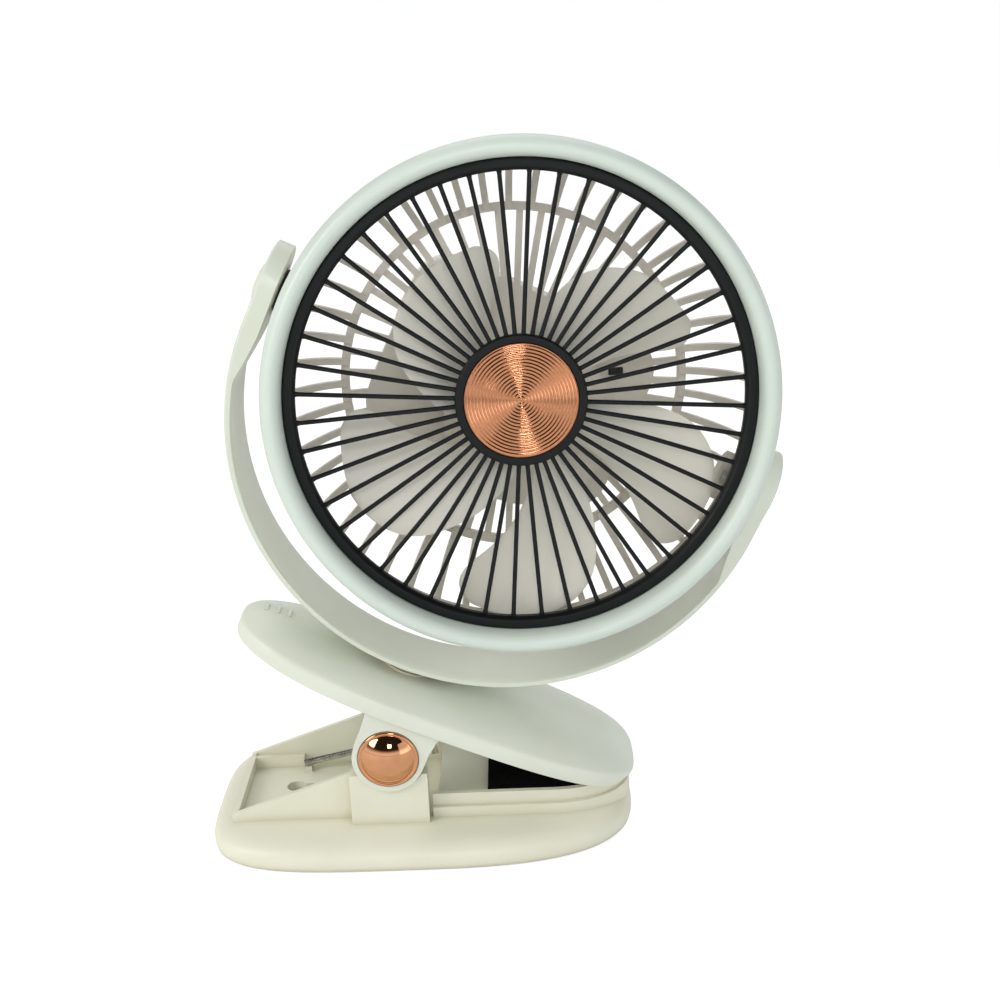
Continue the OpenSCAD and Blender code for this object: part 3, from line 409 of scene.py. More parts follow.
@dataclass(frozen=True)
class Layout:
    """Where the clip's pin, the yoke's circle, the tilt axis and the motor lie at rest."""

    pin: Triple = (-9.3, 0.0, 34.2)
    lean: float = 23.5
    turn: float = 2.3
    swivel_u: float = -3.3
    circle_s: float = 112.9
    pivot_rise: float = 12.5
    tilt_back: float = 6.0
    motor: Point = (8.5, -9.5)

    def jaw(self) -> Matrix:
        """Frame of the upper jaw, from the pin: X along the jaw, Z square to it."""
        return Matrix.Translation(Vector(self.pin) * MM) @ Matrix.Rotation(radians(self.lean), 4, "Y")

    def yoke(self) -> Matrix:
        """Frame of the yoke, from the middle of its circle: its arms are turned a little past the jaw's lean."""
        return (self.jaw() @ Matrix.Translation(Vector((self.swivel_u, 0, self.circle_s)) * MM)
                @ Matrix.Rotation(radians(self.turn), 4, "Y"))

    def head(self) -> Matrix:
        """Frame of the head, from the tilt axis: X along the axis, Y to the back."""
        return (self.yoke() @ Matrix.Translation((0, 0, self.pivot_rise * MM))
                @ Matrix.Rotation(-radians(self.tilt_back), 4, "X"))

    def rotor(self) -> Matrix:
        """Frame of the motor's shaft."""
        return self.head() @ Matrix.Translation(Vector((self.motor[0], 0, self.motor[1])) * MM)


LAYOUT = Layout()


# ---- Mesh tools ----

def placed(name: str, data: bpy.types.ID) -> Piece:
    """Put a new object in the scene.

    Args:
        name: the object's name.
        data: its mesh, lamp or camera.

    Returns:
        The object, at the origin.
    """
    thing = bpy.data.objects.new(name, data)
    bpy.context.scene.collection.objects.link(thing)
    return thing


def mesh_piece(name: str, points: list[Vector], faces: list[Face], crease: float = CREASE) -> Piece:
    """Make a smooth mesh object, creased where its faces meet at more than an angle.

    Args:
        name: the piece's name.
        points: its points, in millimetres.
        faces: its faces, as indices of points.
        crease: the angle past which an edge stays sharp, in degrees.

    Returns:
        The new object, at the origin.
    """
    mesh = bpy.data.meshes.new(name)
    mesh.from_pydata([p * MM for p in points], [], faces)
    mesh.validate()
    mesh.polygons.foreach_set("use_smooth", [True] * len(mesh.polygons))
    mesh.set_sharp_from_angle(angle=radians(crease))
    return placed(name, mesh)


def skin(rings: list[Ring], closed: bool = False, caps: bool = True) -> Surface:
    """Stretch a skin over equal rings of points.

    Args:
        rings: the rings, in order.
        closed: whether the last ring joins the first.
        caps: whether the two end rings are filled.

    Returns:
        The points and the faces.
    """
    n, m = len(rings[0]), len(rings)
    points = [p for ring in rings for p in ring]
    faces: list[Face] = []
    for k in range(m if closed else m - 1):
        a, b = k * n, (k + 1) % m * n
        faces += [(a + i, b + i, b + (i + 1) % n, a + (i + 1) % n) for i in range(n)]
    if caps and not closed:
        faces += [tuple(range(n)), tuple(reversed(range((m - 1) * n, m * n)))]
    return points, faces


def turned(profile: list[Point], segments: int = 192) -> Surface:
    """Turn a closed profile about the Y axis.

    Args:
        profile: radius and Y of each point, the outline of the solid. A radius of 0 lies on the axis.
        segments: how many steps make the turn.

    Returns:
        The points and the faces.
    """
    rings = []
    for i in range(segments):
        a = 2 * pi * i / segments
        rings.append([Vector((r * cos(a), y, r * sin(a))) for r, y in profile])
    points, faces = skin(rings, closed=True)
    n = len(profile)
    on_axis = {i for i, (r, _) in enumerate(profile) if r < 1e-6}
    merged = []
    for face in faces:
        kept: list[int] = []
        for index in face:
            index = index % n if index % n in on_axis else index
            if index not in kept:
                kept.append(index)
        if len(kept) > 2:
            merged.append(tuple(kept))
    return points, merged


def joined(*parts: Surface) -> Surface:
    """Put several meshes into one.

    Args:
        *parts: the points and faces of each.

    Returns:
        The points and faces of all.
    """
    points: list[Vector] = []
    faces: list[Face] = []
    for more_points, more_faces in parts:
        start = len(points)
        points += more_points
        faces += [tuple(start + i for i in face) for face in more_faces]
    return points, faces


def filleted(outline: list[Point], radius: float | list[float], steps: int = 5) -> list[Point]:
    """Round the corners of a closed outline.

    Args:
        outline: its corners.
        radius: the radius of every corner, or of each.
        steps: how many steps make a corner.

    Returns:
        The rounded outline.
    """
    n = len(outline)
    radii = radius if isinstance(radius, list) else [radius] * n
    rounded: list[Point] = []
    for i, r in enumerate(radii):
        corner, before, after = (Vector(outline[j]) for j in (i, i - 1, (i + 1) % n))
        one, two = (before - corner), (after - corner)
        turn = one.angle(two)
        if r <= 0 or turn > pi - 0.02:
            rounded.append(tuple(corner))
            continue
        reach = min(r / tan(turn / 2), 0.48 * one.length, 0.48 * two.length)
        rounded += [tuple(point) for point in bent(one, corner, two, reach, steps)]
    return rounded


def bent(one: Vector, corner: Vector, two: Vector, reach: float, steps: int = 5) -> list[Vector]:
    """Draw the short curve that takes the place of a corner.

    Args:
        one: the way from the corner to the point before it.
        corner: the corner.
        two: the way from the corner to the point after it.
        reach: how far from the corner the curve starts and ends.
        steps: how many steps it has.

    Returns:
        The points of the curve.
    """
    start, end = corner + one.normalized() * reach, corner + two.normalized() * reach
    shares = [k / steps for k in range(steps + 1)]
    return [start * (1 - f) ** 2 + corner * 2 * f * (1 - f) + end * f ** 2 for f in shares]


def flowing(points: list[Point], steps: int = 6) -> list[Point]:
    """Draw a smooth open line through points.

    Args:
        points: the points that the line passes.
        steps: how many steps lie between two points.

    Returns:
        The points of the line.
    """
    p = [Vector(q) for q in points]
    p = [p[0] * 2 - p[1], *p, p[-1] * 2 - p[-2]]
    line = []
    for i in range(1, len(p) - 2):
        for k in range(steps):
            t = k / steps
            line.append(tuple(0.5 * (2 * p[i] + (p[i + 1] - p[i - 1]) * t
                                     + (2 * p[i - 1] - 5 * p[i] + 4 * p[i + 1] - p[i + 2]) * t ** 2
                                     + (3 * p[i] - p[i - 1] - 3 * p[i + 1] + p[i + 2]) * t ** 3)))
    return [*line, tuple(p[-2])]


def tube(route: list[Vector], radius: float, sides: int = 20) -> Surface:
    """Draw a round wire along a route.

    Args:
        route: the points of its centreline.
        radius: its radius.
        sides: how many sides it has.

    Returns:
        The points and the faces.
    """
    rings: list[Ring] = []
    across = Vector((0, 1, 0))
    for k, point in enumerate(route):
        along = (route[min(k + 1, len(route) - 1)] - route[max(k - 1, 0)]).normalized()
        side = along.cross(across).normalized()
        across = side.cross(along)
        rings.append([point + radius * (cos(2 * pi * i / sides) * side + sin(2 * pi * i / sides) * across)
                      for i in range(sides)])
    return skin(rings)


def cut(piece: Piece, cutter: Piece) -> None:
    """Take one solid out of another and drop the cutter.

    Args:
        piece: the solid that is cut.
        cutter: the solid that cuts it.
    """
    tool = piece.modifiers.new("Cut", "BOOLEAN")
    tool.object, tool.operation, tool.solver = cutter, "DIFFERENCE", "EXACT"
    bpy.context.view_layer.update()
    result = bpy.data.meshes.new_from_object(piece.evaluated_get(bpy.context.evaluated_depsgraph_get()))
    piece.modifiers.clear()
    piece.data = result
    result.set_sharp_from_angle(angle=radians(CREASE))
    bpy.data.objects.remove(cutter)


def soften(piece: Piece, width: float, angle: float = 42.0, segments: int = 2) -> None:
    """Break the hard edges of a solid, as a mould does.

    Args:
        piece: the solid.
        width: the width of the broken edge, in millimetres.
        angle: the angle past which an edge is broken, in degrees.
        segments: how many steps round the edge.
    """
    if "custom_normal" in piece.data.attributes:
        piece.data.attributes.remove(piece.data.attributes["custom_normal"])
    piece.data.polygons.foreach_set("use_smooth", [True] * len(piece.data.polygons))
    weld = piece.modifiers.new("Weld", "WELD")
    weld.merge_threshold = 0.002 * MM
    flat = piece.modifiers.new("Flat_faces", "DECIMATE")
    flat.decimate_type = "DISSOLVE"
    flat.angle_limit = radians(0.4)
    edge = piece.modifiers.new("Broken_edges", "BEVEL")
    edge.width, edge.segments, edge.limit_method, edge.angle_limit = width * MM, segments, "ANGLE", radians(angle)
    edge.harden_normals, edge.use_clamp_overlap, edge.loop_slide = True, True, True
    edge.miter_outer = "MITER_ARC"


# ---- Sub-assemblies ----

class SubAssembly:
    """What the sub-assemblies share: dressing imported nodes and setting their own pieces."""

    def dress(self, slot: Slot, *nodes: str, edge: float = 0.0) -> None:
        """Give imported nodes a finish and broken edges.

        Args:
            slot: the material slot that they take.
            *nodes: their names.
            edge: the width of their broken edges, in millimetres, or 0 to leave them.
        """
        for name in nodes:
            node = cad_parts[name]
            node.data.materials.clear()
            node.data.materials.append(material_of(slot.value[1]))
            if edge:
                soften(node, edge)
            log.info("dressed %s as %s", name, slot.value[0])

    def set_piece(self, piece: Piece, slot: Slot, place: Matrix, body: str, *nodes: str,
                  turned_in_place: bool = False) -> Piece:
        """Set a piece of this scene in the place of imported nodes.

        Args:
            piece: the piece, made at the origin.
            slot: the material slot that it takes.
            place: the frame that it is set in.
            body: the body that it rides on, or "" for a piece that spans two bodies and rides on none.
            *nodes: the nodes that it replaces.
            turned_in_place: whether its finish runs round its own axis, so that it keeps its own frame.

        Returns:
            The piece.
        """
        if turned_in_place:
            piece.matrix_world = place
        else:
            piece.data.transform(place)
        piece.data.materials.clear()
        piece.data.materials.append(material_of(slot.value[1]))
        if body:
            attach(piece, body)
        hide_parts(*nodes)
        log.info("built %s on %s: %d faces", piece.name, body or "two bodies", len(piece.data.polygons))
        return piece


@dataclass
class ClipBase(SubAssembly):
    """The base of the clip with its lower pad and the torsion spring."""

    pad_x0: float = 22.7
    pad_round_x: float = 43.0
    pad_end_x: float = 68.9
    pad_half: float = 19.9
    pad_blunt: float = 2.3
    pad_z: Point = (15.1, 17.1)
    grip_pitch: float = 2.4
    grip_depth: float = 0.06
    wire_r: float = 1.2
    wire_gap: float = 0.25
    coil_r: float = 6.6
    turns: int = 5
    leg_y: float = 15.4
    leg_end: Point = (-44.0, 10.4)
    leg_bend: Point = (-25.3, 14.4)
    knee: Point = (-24.0, 15.6)
    tip: Point = (-43.0, 17.3)

    def build(self) -> None:
        """Dress the base and set its pad and spring."""
        self.dress(Slot.IVORY, "base", edge=0.45)
        self.set_piece(self.make_pad(), Slot.PAD, Matrix(), "base", "lower_jaw_pad")
        spring = self.set_piece(self.make_spring(), Slot.SPRING, Matrix(), "", "torsion_spring")
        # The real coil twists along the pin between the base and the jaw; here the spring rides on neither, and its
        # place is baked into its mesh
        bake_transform(spring)

    @property
    def pitch(self) -> float:
        """The step of the spring's coil: one wire and a small gap."""
        return 2 * self.wire_r + self.wire_gap

    def pad_edge(self, x: float) -> float:
        """Half width of the pad: straight sides that round in to its end.

        Args:
            x: the place along the base.

        Returns:
            The half width there.
        """
        share = min(1.0, max(0.0, (x - self.pad_round_x) / (self.pad_end_x - self.pad_round_x)))
        return self.pad_half * (1 - share ** self.pad_blunt) ** (1 / self.pad_blunt)

    def make_pad(self) -> Piece:
        """Make the lower pad: a rubber sheet with shallow grip lines, cut to the bed.

        Returns:
            The pad.
        """
        low, high = self.pad_z
        stations = 140
        rings: list[Ring] = []
        for k in range(stations + 1):
            x = self.pad_x0 + (self.pad_end_x - 0.05 - self.pad_x0) * k / stations
            half = self.pad_edge(x)
            wave = 0.5 + 0.5 * cos(2 * pi * (x - self.pad_x0) / self.grip_pitch)
            top = high - self.grip_depth * wave ** 2
            rings.append([Vector((x, y, z)) for y, z in (
                (-half, low), (-half, top - 0.3), (-half + 0.3, top), (half - 0.3, top), (half, top - 0.3),
                (half, low))])
        return mesh_piece("ribbed_lower_pad", *skin(rings), crease=60)

    def make_spring(self) -> Piece:
        """Make the spring: the leg in the box, the coil round the pin and the leg under the jaw.

        Returns:
            The spring.
        """
        pin = Vector(LAYOUT.pin)
        steps = 36
        coil = []
        for i in range(steps * self.turns + 1):
            a = radians(205) - 2 * pi * i / steps
            coil.append(pin + Vector((self.coil_r * cos(a), self.leg_y - self.pitch * i / steps, self.coil_r * sin(a))))
        lower = [Vector((x, self.leg_y, z)) for x, z in (self.leg_end, self.leg_bend)]
        lower.append(lower[1] + Vector((1.6, 0, 1.4)))
        turn = Matrix.Rotation(radians(LAYOUT.lean), 3, "Y")
        upper = [pin + turn @ Vector((u, 0, s)) + Vector((0, coil[-1].y, 0)) for u, s in (self.knee, self.tip)]
        return mesh_piece("wound_spring", *tube(self.eased([*lower, *coil, *upper]), self.wire_r), crease=60)

    @staticmethod
    def eased(route: list[Vector]) -> list[Vector]:
        """Round the bends of a route.

        Args:
            route: its points.

        Returns:
            The route with each sharp bend drawn as a short curve.
        """
        line = [route[0]]
        for before, here, after in zip(route, route[1:], route[2:]):
            one, two = before - here, after - here
            if one.length < 1e-6 or two.length < 1e-6 or one.angle(two) > radians(165):
                line.append(here)
                continue
            line += bent(one, here, two, min(1.6, 0.45 * one.length, 0.45 * two.length))
        return [*line, route[-1]]


@dataclass
class UpperJaw(SubAssembly):
    """The lever of the clip: its pad, the hinge pin with its two caps, and the swivel's washer."""

    cap_r: float = 10.0
    cap_h: float = 4.0
    cap_seat: float = 0.8
    cheek_out: float = 27.8

    def build(self) -> None:
        """Dress the jaw and set the polished caps."""
        self.dress(Slot.OFFWHITE, "upper_jaw", edge=0.4)
        self.dress(Slot.PAD, "upper_jaw_pad", edge=0.3)
        self.dress(Slot.ZINC, "hinge_pin", edge=0.2)
        self.dress(Slot.IVORY, "swivel_washer", edge=0.2)
        seat = Matrix.Translation(Vector((LAYOUT.pin[0], -self.cheek_out + self.cap_seat, LAYOUT.pin[2])) * MM)
        mirror = Matrix.Diagonal((1, -1, 1, 1))
        self.set_piece(self.make_cap("polished_cap_front"), Slot.ROSE, seat, "jaw", "hinge_cap_front")
        back = self.make_cap("polished_cap_back")
        back.data.transform(mirror)
        back.data.flip_normals()
        self.set_piece(back, Slot.ROSE, mirror @ seat @ mirror, "jaw", "hinge_cap_back")

    def make_cap(self, name: str) -> Piece:
        """Make one cap: a narrow rolled rim, a fine groove and a high dome.

        Args:
            name: the cap's name.

        Returns:
            The cap, its seat at Y 0 and its dome towards -Y.
        """
        top = -self.cap_h - self.cap_seat
        rim = [(0.0, 0.0), (self.cap_r - 0.15, 0.0), (self.cap_r, -0.15), (self.cap_r, -1.0), (self.cap_r - 0.2, -1.3),
               (self.cap_r - 0.6, -1.42), (self.cap_r - 0.95, -1.3), (self.cap_r - 1.15, -1.15)]
        dome_r, dome_h = self.cap_r - 1.25, -1.2 - top
        ball = (dome_r ** 2 + dome_h ** 2) / (2 * dome_h)
        steps = 24
        dome = [(dome_r * (1 - k / steps), top + ball - sqrt(ball ** 2 - (dome_r * (1 - k / steps)) ** 2))
                for k in range(steps)]
        return mesh_piece(name, *turned([*rim, *dome, (0.0, top)], 128), crease=70)


@dataclass
class Yoke(SubAssembly):
    """The C-shaped band that carries the head."""

    radius: float = 88.4
    thick: float = 3.0
    half_w: float = 13.5
    arm_in: float = 81.6
    end_r: float = 14.5
    thin_angle: float = 11.5
    boss_r: float = 9.0
    boss_drop: float = 1.5

    def build(self) -> None:
        """Set the band and dress its covers and the swivel's screw."""
        self.set_piece(self.make_band(), Slot.OFFWHITE, LAYOUT.yoke(), "yoke", "yoke")
        self.dress(Slot.OFFWHITE, "tilt_caps", edge=0.2)
        self.dress(Slot.ZINC, "swivel_screw", edge=0.2)
        self.dress(Slot.BLUED, "swivel_spring_washer", edge=0.1)

    def section(self, angle: float, height: float) -> Ring:
        """Draw the band's section at one station of its right half.

        Args:
            angle: how far below level the station lies, in degrees, or 0 on the arm.
            height: how far above the circle's middle it lies on the arm.

        Returns:
            The points round the section.
        """
        rise = LAYOUT.pivot_rise
        on_band = min(1.0, angle / self.thin_angle)
        inner = self.arm_in + (self.radius - self.thick - self.arm_in) * on_band ** 1.7
        off = abs(height - rise) if not angle else self.end_r
        half = sqrt(max(0.0, self.end_r ** 2 - off ** 2))
        if height < rise:
            half = max(half, self.half_w)
        up = max(0.0, height - rise)
        reach = max(half, self.half_w)
        spread = 13
        ring: Ring = []
        for side in (1, -1):
            for j in range(-spread, spread + 1):
                y = (half + 0.02) * sin(pi / 2 * side * j / spread)
                out = min(1.0, hypot(y, up) / (self.end_r if up else reach))
                # A soft outer edge 1 mm deep and a tighter one inside
                r = self.radius - 1.0 * out ** 9 - 0.2 * out ** 2 if side > 0 else inner + 0.5 * out ** 16
                ring.append(Vector((r * cos(radians(angle)), y, height - r * sin(radians(angle)))))
        return ring

    def make_band(self) -> Piece:
        """Make the band: round arm ends, flat inside, run into the thin strap, with the swivel's boss below.

        Returns:
            The band.
        """
        tops = [LAYOUT.pivot_rise + self.end_r * sin(radians(90 * (1 - k / 18))) for k in range(19)]
        stations = [(0.0, h) for h in tops] + [(0.0, h) for h in (8.0, 4.0)]
        # One station a degree where the arm thins, then one every 2.5 degrees to the bottom
        stations += [(float(a), 0.0) for a in range(16)] + [(15 + 2.5 * k, 0.0) for k in range(31)]
        right = [self.section(a, h) for a, h in stations]
        left = [[Vector((-p.x, p.y, p.z)) for p in ring] for ring in reversed(right[:-1])]
        strap = skin(right + left)
        low = -self.radius - self.boss_drop
        boss = filleted([(0, low), (self.boss_r, low), (self.boss_r, low + 2.6), (0, low + 2.6)], [0, 0.5, 0, 0])
        points, faces = turned(boss, 96)
        upright = Matrix.Rotation(-radians(LAYOUT.turn), 3, "Y")
        points = [upright @ Vector((p.x, p.z, p.y)) for p in points]
        faces = [tuple(reversed(f)) for f in faces]
        return mesh_piece("yoke_band", *joined(strap, (points, faces)), crease=50)


@dataclass
class FanHead(SubAssembly):
    """The fixed ring, grille, badge and rear housing of the head."""

    bezel_r: float = 80.0
    bezel_in: float = 73.5
    duct_r: float = 77.4
    clamp_y: float = -19.8
    bezel_back: float = -13.0
    screw_y: float = -15.9
    seat_r: float = 2.1
    seat_reach: Point = (78.5, 84.0)
    rim_r: float = 73.3
    rim_w: float = 3.8
    rim_front: float = -21.2
    hub_r: float = 20.6
    badge_r: float = 17.9
    bar_y: Point = (-19.2, -17.6)
    bar_w: float = 1.4
    bars: int = 48
    bar_phase: float = -2.75
    groove_pitch: float = 1.06
    groove_depth: float = 0.2

    def build(self) -> None:
        """Set the ring, the grille and the badge, and dress the housing."""
        head = LAYOUT.head()
        self.set_piece(self.make_bezel(), Slot.MINT, head, "head", "bezel")
        self.set_piece(self.make_grille(), Slot.GRILLE, head, "head", "front_grille")
        self.set_piece(self.make_badge(), Slot.TURNED, head, "head", "centre_badge", turned_in_place=True)
        self.dress(Slot.BEIGE, "rear_housing", edge=0.3)
        self.dress(Slot.BLACK, "lead_grommet", edge=0.3)
        self.dress(Slot.ZINC, "bezel_screws", "tilt_screws", edge=0.15)
        self.dress(Slot.WASHER, "tilt_washers", edge=0.15)

    def make_bezel(self) -> Piece:
        """Make the ring: a soft crown that rolls in to the grille, with four screw seats.

        Returns:
            The ring.
        """
        crown = flowing([(self.bezel_in, -25.2), (self.bezel_in + 0.5, -27.2), (75, -28.45), (76.4, -28.95),
                         (78, -28.4), (79.3, -26.4), (self.bezel_r, -23.6), (79.8, -19.6), (79.4, self.bezel_back)], 7)
        inner = [(self.duct_r + 0.03, self.bezel_back), (self.duct_r + 0.03, self.clamp_y),
                 (self.bezel_in, self.clamp_y)]
        ring = mesh_piece("moulded_bezel", *turned([*inner, *crown], 240))
        for i in range(4):
            a = radians(45 + 90 * i)
            out = Vector((sin(a), 0, cos(a)))
            seat = tube([out * r + Vector((0, self.screw_y, 0)) for r in self.seat_reach], self.seat_r, 40)
            cut(ring, mesh_piece(f"screw_seat_{i}", *seat))
        return ring

    def make_grille(self) -> Piece:
        """Make the grille: rolled rim, clamped flange, hub ring and round-faced bars with flared roots.

        Returns:
            The grille.
        """
        rim_in = self.rim_r - self.rim_w
        rim = filleted([(rim_in, -19.8), (rim_in + 1, self.rim_front), (self.rim_r, self.rim_front),
                        (self.rim_r, -19.77), (self.duct_r - 0.1, -19.77), (self.duct_r - 0.1, -17.77),
                        (self.rim_r, -17.77), (self.rim_r, -17.4), (rim_in, -17.4)],
                       [0.6, 0.9, 0.6, 0, 0.3, 0.3, 0, 0.1, 0.5])
        hub = filleted([(0, -19.0), (self.badge_r + 0.1, -19.0), (self.badge_r + 0.1, -20.1), (self.hub_r - 0.5, -20.1),
                        (self.hub_r, -19.5), (self.hub_r, -17.0), (0, -17.0)], [0, 0, 0.3, 0.5, 0.4, 0.6, 0])
        parts = [turned(rim, 240), turned(hub, 160)]
        parts += [self.bar(self.bar_phase + 360 / self.bars * (i + 0.5)) for i in range(self.bars)]
        return mesh_piece("moulded_grille", *joined(*parts), crease=50)

    def bar(self, angle: float) -> Surface:
        """Make one bar of the grille.

        Args:
            angle: its turn about the head's axis, in degrees.

        Returns:
            Its points and faces.
        """
        start, end = self.hub_r - 0.9, self.rim_r - self.rim_w + 0.9
        middle, deep = sum(self.bar_y) / 2, (self.bar_y[1] - self.bar_y[0]) / 2
        turn = Matrix.Rotation(radians(angle), 3, "Y")
        rings: list[Ring] = []
        for f in (0, 0.008, 0.02, 0.04, 0.08, 0.3, 0.5, 0.7, 0.92, 0.965, 0.985, 1):
            flare = max(0.0, 1 - f / 0.035) ** 2 * 0.25 + max(0.0, 1 - (1 - f) / 0.035) ** 2 * 0.6
            ring = []
            for i in range(16):
                a = 2 * pi * i / 16
                across, depth = cos(a), sin(a)
                x = abs(across) ** 0.72 * (1 if across > 0 else -1)
                y = abs(depth) ** 0.72 * (1 if depth > 0 else -1)
                ring.append(turn @ Vector((start + (end - start) * f, middle + y * deep,
                                           x * (self.bar_w / 2 + flare))))
            rings.append(ring)
        return skin(rings)

    def make_badge(self) -> Piece:
        """Make the badge: a plain disc face-turned in rings, with a rolled edge.

        Returns:
            The badge.
        """
        back, front = -19.03, -20.2
        face: list[Point] = [(0.0, front)]
        steps = int(self.badge_r / self.groove_pitch * 10)
        edge = self.badge_r - 0.55
        for k in range(1, steps + 1):
            r = edge * k / steps
            cup = 0.5 - 0.5 * cos(2 * pi * r / self.groove_pitch)
            face.append((r, front + self.groove_depth * cup ** 0.8))
        outline = [*face, (self.badge_r - 0.2, front + 0.12), (self.badge_r - 0.04, front + 0.35),
                   (self.badge_r, front + 0.6), (self.badge_r, back), (0.0, back)]
        points, faces = turned(outline, 200)
        faces = [tuple(reversed(f)) for f in faces]
        return mesh_piece("turned_badge", points, faces, crease=60)


@dataclass
class RotorUnit(SubAssembly):
    """The rotor with its cap, and what turns with it."""

    tip_r: float = 60.85
    root_r: float = 9.0
    hub_r: float = 10.0
    hub_y: Point = (-13.1, 2.0)
    bore_r: float = 1.53
    blades: int = 5
    phase: float = -42.3
    blade_y: float = -7.4
    blade_t: float = 1.5
    half_angle: float = 24.0
    tip_start: float = 0.72
    tip_power: float = 2.6
    sweep: float = 46.0
    pitch: Point = (-40.0, 15.0)
    camber: float = 1.2

    def build(self) -> None:
        """Set the rotor and dress the shaft and windings."""
        self.set_piece(self.make_rotor(), Slot.ROTOR, LAYOUT.rotor(), "rotor", "rotor")
        self.dress(Slot.ROTOR, "rotor_cap", edge=0.2)
        self.dress(Slot.ZINC, "motor_shaft", edge=0.1)
        self.dress(Slot.COPPER, "armature", edge=0.3)

    def blade_point(self, f: float, c: float, side: float) -> Vector:
        """Find one point of a blade's skin.

        Args:
            f: the place from root to tip, 0 to 1.
            c: the place across, -1 to 1.
            side: 1 on the back, -1 on the front.

        Returns:
            The point.
        """
        r = self.root_r + (self.tip_r - self.root_r) * f
        share = r / self.tip_r
        tip = sqrt(1 - max(0.0, (share - self.tip_start) / 0.3) ** self.tip_power)
        half = self.half_angle * tip * min(1.0, 0.75 + 0.25 * share / 0.3)
        a = radians(c * half - self.sweep * share)
        chord = r * radians(c * half)
        pitch = radians(self.pitch[0] + self.pitch[1] * share)
        y = self.blade_y + chord * tan(pitch) * 0.55 - self.camber * (1 - c * c)
        # Thick in the middle and at the root, thin at the rounded edges
        thick = self.blade_t * (0.42 + 0.58 * sqrt(max(0.0, 1 - c ** 4))) * (1.1 - 0.25 * f)
        return Vector((r * cos(a), y + side * thick / 2, r * sin(a)))

    def make_blade(self) -> Surface:
        """Make one petal, round at its tip.

        Returns:
            Its points and faces.
        """
        across, along = 22, 34
        rings: list[Ring] = []
        for k in range(along + 1):
            f = 1 - (1 - k / along) ** 1.8
            row = [sin(pi / 2 * (-1 + 2 * i / across)) for i in range(across + 1)]
            rings.append([self.blade_point(f, c, 1) for c in row] + [self.blade_point(f, c, -1) for c in reversed(row)])
        points, faces = skin(rings, caps=False)
        n, last = len(rings[0]), along * len(rings[0])
        for i in range(across):
            faces.append((i, i + 1, n - 2 - i, n - 1 - i))
            faces.append((last + n - 1 - i, last + n - 2 - i, last + i + 1, last + i))
        return points, faces

    def make_rotor(self) -> Piece:
        """Make the rotor: five petals on a cupped hub.

        Returns:
            The rotor.
        """
        front, back = self.hub_y
        hub = filleted([(self.bore_r, front), (self.hub_r, front), (self.hub_r, back), (self.hub_r - 2, back),
                        (self.hub_r - 2, front + 4.5), (self.bore_r, front + 4.5)], [0, 1.2, 0.3, 0.3, 0.8, 0])
        points, faces = self.make_blade()
        parts = [turned(hub, 96)]
        for i in range(self.blades):
            # The model turns its shapes about +Y the same way as this
            turn = Matrix.Rotation(radians(self.phase + 360 / self.blades * i), 3, "Y")
            parts.append(([turn @ p for p in points], faces))
        return mesh_piece("petal_rotor", *joined(*parts), crease=50)


@dataclass
class BatteryPod(SubAssembly):
    """The pod behind the grille: cover, cell, board, socket, button and motor."""

    shell_edge: float = 0.4
    small_edge: float = 0.2
    metal_edge: float = 0.15
    bush_edge: float = 0.1

    def build(self) -> None:
        """Dress the pod and all that it holds."""
        self.dress(Slot.BEIGE, "pod_cover", edge=self.shell_edge)
        self.dress(Slot.OFFWHITE, "power_button", edge=self.small_edge)
        self.dress(Slot.ZINC, "pod_screws", "motor_can", "motor_screws", "battery_contacts", "usb_socket",
                   edge=self.metal_edge)
        self.dress(Slot.BLACK, "motor_end_bell", "button_switch", edge=self.small_edge)
        self.dress(Slot.BRONZE, "front_bush", "rear_bush", edge=self.bush_edge)
        self.dress(Slot.WRAP, "battery_cell", edge=self.shell_edge)
        self.dress(Slot.BOARD, "circuit_board")
        self.dress(Slot.PIPE, "light_pipe", edge=self.small_edge)


# ---- Studio ----

@dataclass
class Softbox:
    """One soft lamp that faces the fan."""

    name: str
    place: Triple
    size: float
    power: float
    colour: str = "#ffffff"

    def build(self, aim: Vector) -> None:
        """Hang the lamp.

        Args:
            aim: the point that it faces.
        """
        lamp = bpy.data.lights.new(self.name, "AREA")
        lamp.shape, lamp.size, lamp.energy, lamp.color = "SQUARE", self.size, self.power, linear(self.colour)[:3]
        holder = placed(self.name, lamp)
        holder.location = self.place
        holder.rotation_euler = (aim - Vector(self.place)).to_track_quat("-Z", "Y").to_euler()
        log.info("hung %s", self.name)


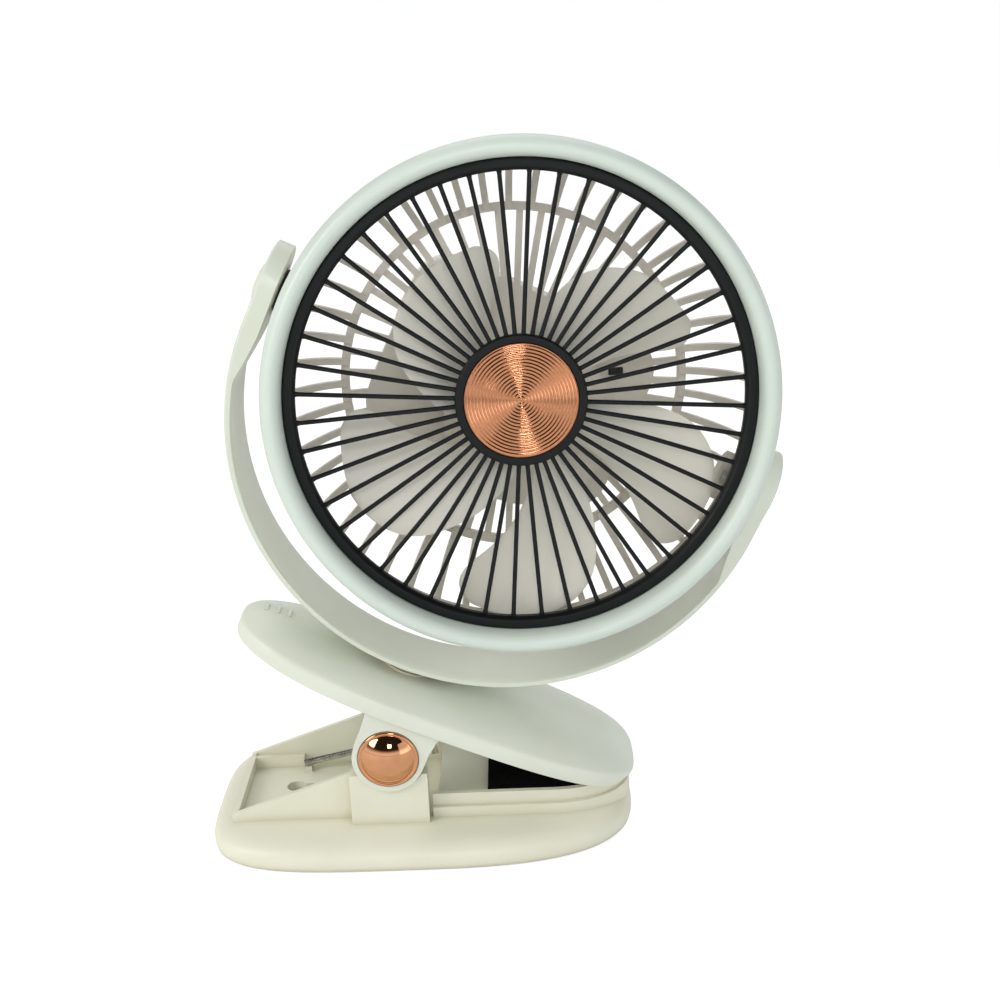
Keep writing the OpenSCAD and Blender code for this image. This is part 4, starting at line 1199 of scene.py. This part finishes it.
@dataclass
class Studio:
    """Pale floor, soft lamps, white surround and the camera."""

    eye: Triple = (0.0389, -0.4666, 0.2749)
    lens: float = 54.07
    pitch: float = -19.1
    yaw: float = -1.0
    roll: float = -2.5
    aim: Triple = (0.02, 0.0, 0.11)
    surround: float = 0.62
    boxes: list[Softbox] = field(default_factory=lambda: [
        Softbox("Key_softbox", (-1.0, -0.55, 0.75), 0.6, 6.6, "#fffaf2"),
        Softbox("Front_softbox", (0.07, -1.0, 0.6), 0.2, 1.7),
        Softbox("Fill_softbox", (0.9, -0.75, 0.35), 0.7, 1.2),
        Softbox("Back_softbox", (0.1, 0.9, 0.9), 0.8, 2.4)])

    def build(self) -> None:
        """Make the whole studio."""
        self.make_camera()
        self.make_world()
        self.make_floor()
        for box in self.boxes:
            box.build(Vector(self.aim))
        bpy.context.scene.view_settings.view_transform = "Standard"

    def make_camera(self) -> None:
        """Set the camera by its place and its three turns."""
        pitch, yaw, roll = (radians(a) for a in (self.pitch, self.yaw, self.roll))
        ahead = Vector((sin(yaw) * cos(pitch), cos(yaw) * cos(pitch), sin(pitch)))
        right = Vector((cos(yaw), -sin(yaw), 0))
        up = right.cross(ahead)
        across = cos(roll) * right + sin(roll) * up
        upright = -sin(roll) * right + cos(roll) * up
        turn = Matrix((across, upright, -ahead)).transposed().to_4x4()
        lens = bpy.data.cameras.new("Camera")
        lens.lens, lens.sensor_width, lens.clip_start, lens.clip_end = self.lens, 36.0, 0.01, 100.0
        camera = placed("Camera", lens)
        camera.matrix_world = Matrix.Translation(self.eye) @ turn
        bpy.context.scene.camera = camera

    def make_world(self) -> None:
        """Light softly from a plain surround that shows white and is dim overhead in mirrors."""
        world = bpy.data.worlds.new("Studio_surround")
        world.use_nodes = True
        tree = world.node_tree
        tree.nodes.clear()
        path = add_node(tree, "LightPath")
        seen = add_node(tree, "Math", None, {0: path.outputs["Is Camera Ray"], 1: path.outputs["Is Transmission Ray"]},
                        operation="MAXIMUM")
        soft = add_node(tree, "Background", {"Color": linear("#fbfcff"), "Strength": self.surround})
        white = add_node(tree, "Background", {"Color": (1, 1, 1, 1), "Strength": 1.0})
        # Mirrors show a white cove up to eye level and a dark ceiling above it.
        way = add_node(tree, "SeparateXYZ", None, {0: add_node(tree, "TexCoord").outputs["Generated"]})
        cove = add_node(tree, "MapRange", {"From Min": 0.08, "From Max": 0.3, "To Min": 1.0, "To Max": 0.02},
                        {"Value": way.outputs["Z"]}, interpolation_type="SMOOTHSTEP")
        mirrored = add_node(tree, "Background", {"Color": (1, 1, 1, 1)}, {"Strength": cove.outputs[0]})
        gloss = add_node(tree, "MixShader", None, {0: path.outputs["Is Glossy Ray"], 1: soft.outputs[0],
                                                   2: mirrored.outputs[0]})
        both = add_node(tree, "MixShader", None, {0: seen.outputs[0], 1: gloss.outputs[0], 2: white.outputs[0]})
        add_node(tree, "OutputWorld", None, {"Surface": both.outputs[0]})
        bpy.context.scene.world = world

    def make_floor(self) -> None:
        """Lay a pale floor that shows nearly white and keeps the fan's shadow."""
        mesh = bpy.data.meshes.new("floor")
        mesh.from_pydata([(-30, -30, -0.0002), (30, -30, -0.0002), (30, 30, -0.0002), (-30, 30, -0.0002)], [],
                         [(0, 1, 2, 3)])
        floor = placed("floor", mesh)
        material = bpy.data.materials.new("Painted_floor_white")
        material.use_nodes = True
        tree = material.node_tree
        paint = tree.nodes["Principled BSDF"]
        paint.inputs["Base Color"].default_value = linear("#f4f4f2")
        paint.inputs["Roughness"].default_value = 0.8
        path = add_node(tree, "LightPath")
        bright = add_node(tree, "Math", {1: 0.6}, {0: path.outputs["Is Camera Ray"]}, operation="MULTIPLY")
        glow = add_node(tree, "Emission", {"Color": (1, 1, 1, 1), "Strength": 1.33})
        mixed = add_node(tree, "MixShader", None, {0: bright.outputs[0], 1: paint.outputs[0], 2: glow.outputs[0]})
        tree.links.new(mixed.outputs[0], tree.nodes["Material Output"].inputs["Surface"])
        mesh.materials.append(material)


def main() -> None:
    """Build the studio and each sub-assembly in turn."""
    logging.basicConfig(level=logging.INFO, format="%(name)s: %(message)s")
    Studio().build()
    for part in (ClipBase(), UpperJaw(), Yoke(), FanHead(), RotorUnit(), BatteryPod()):
        part.build()


if __name__ == "__main__":
    main()
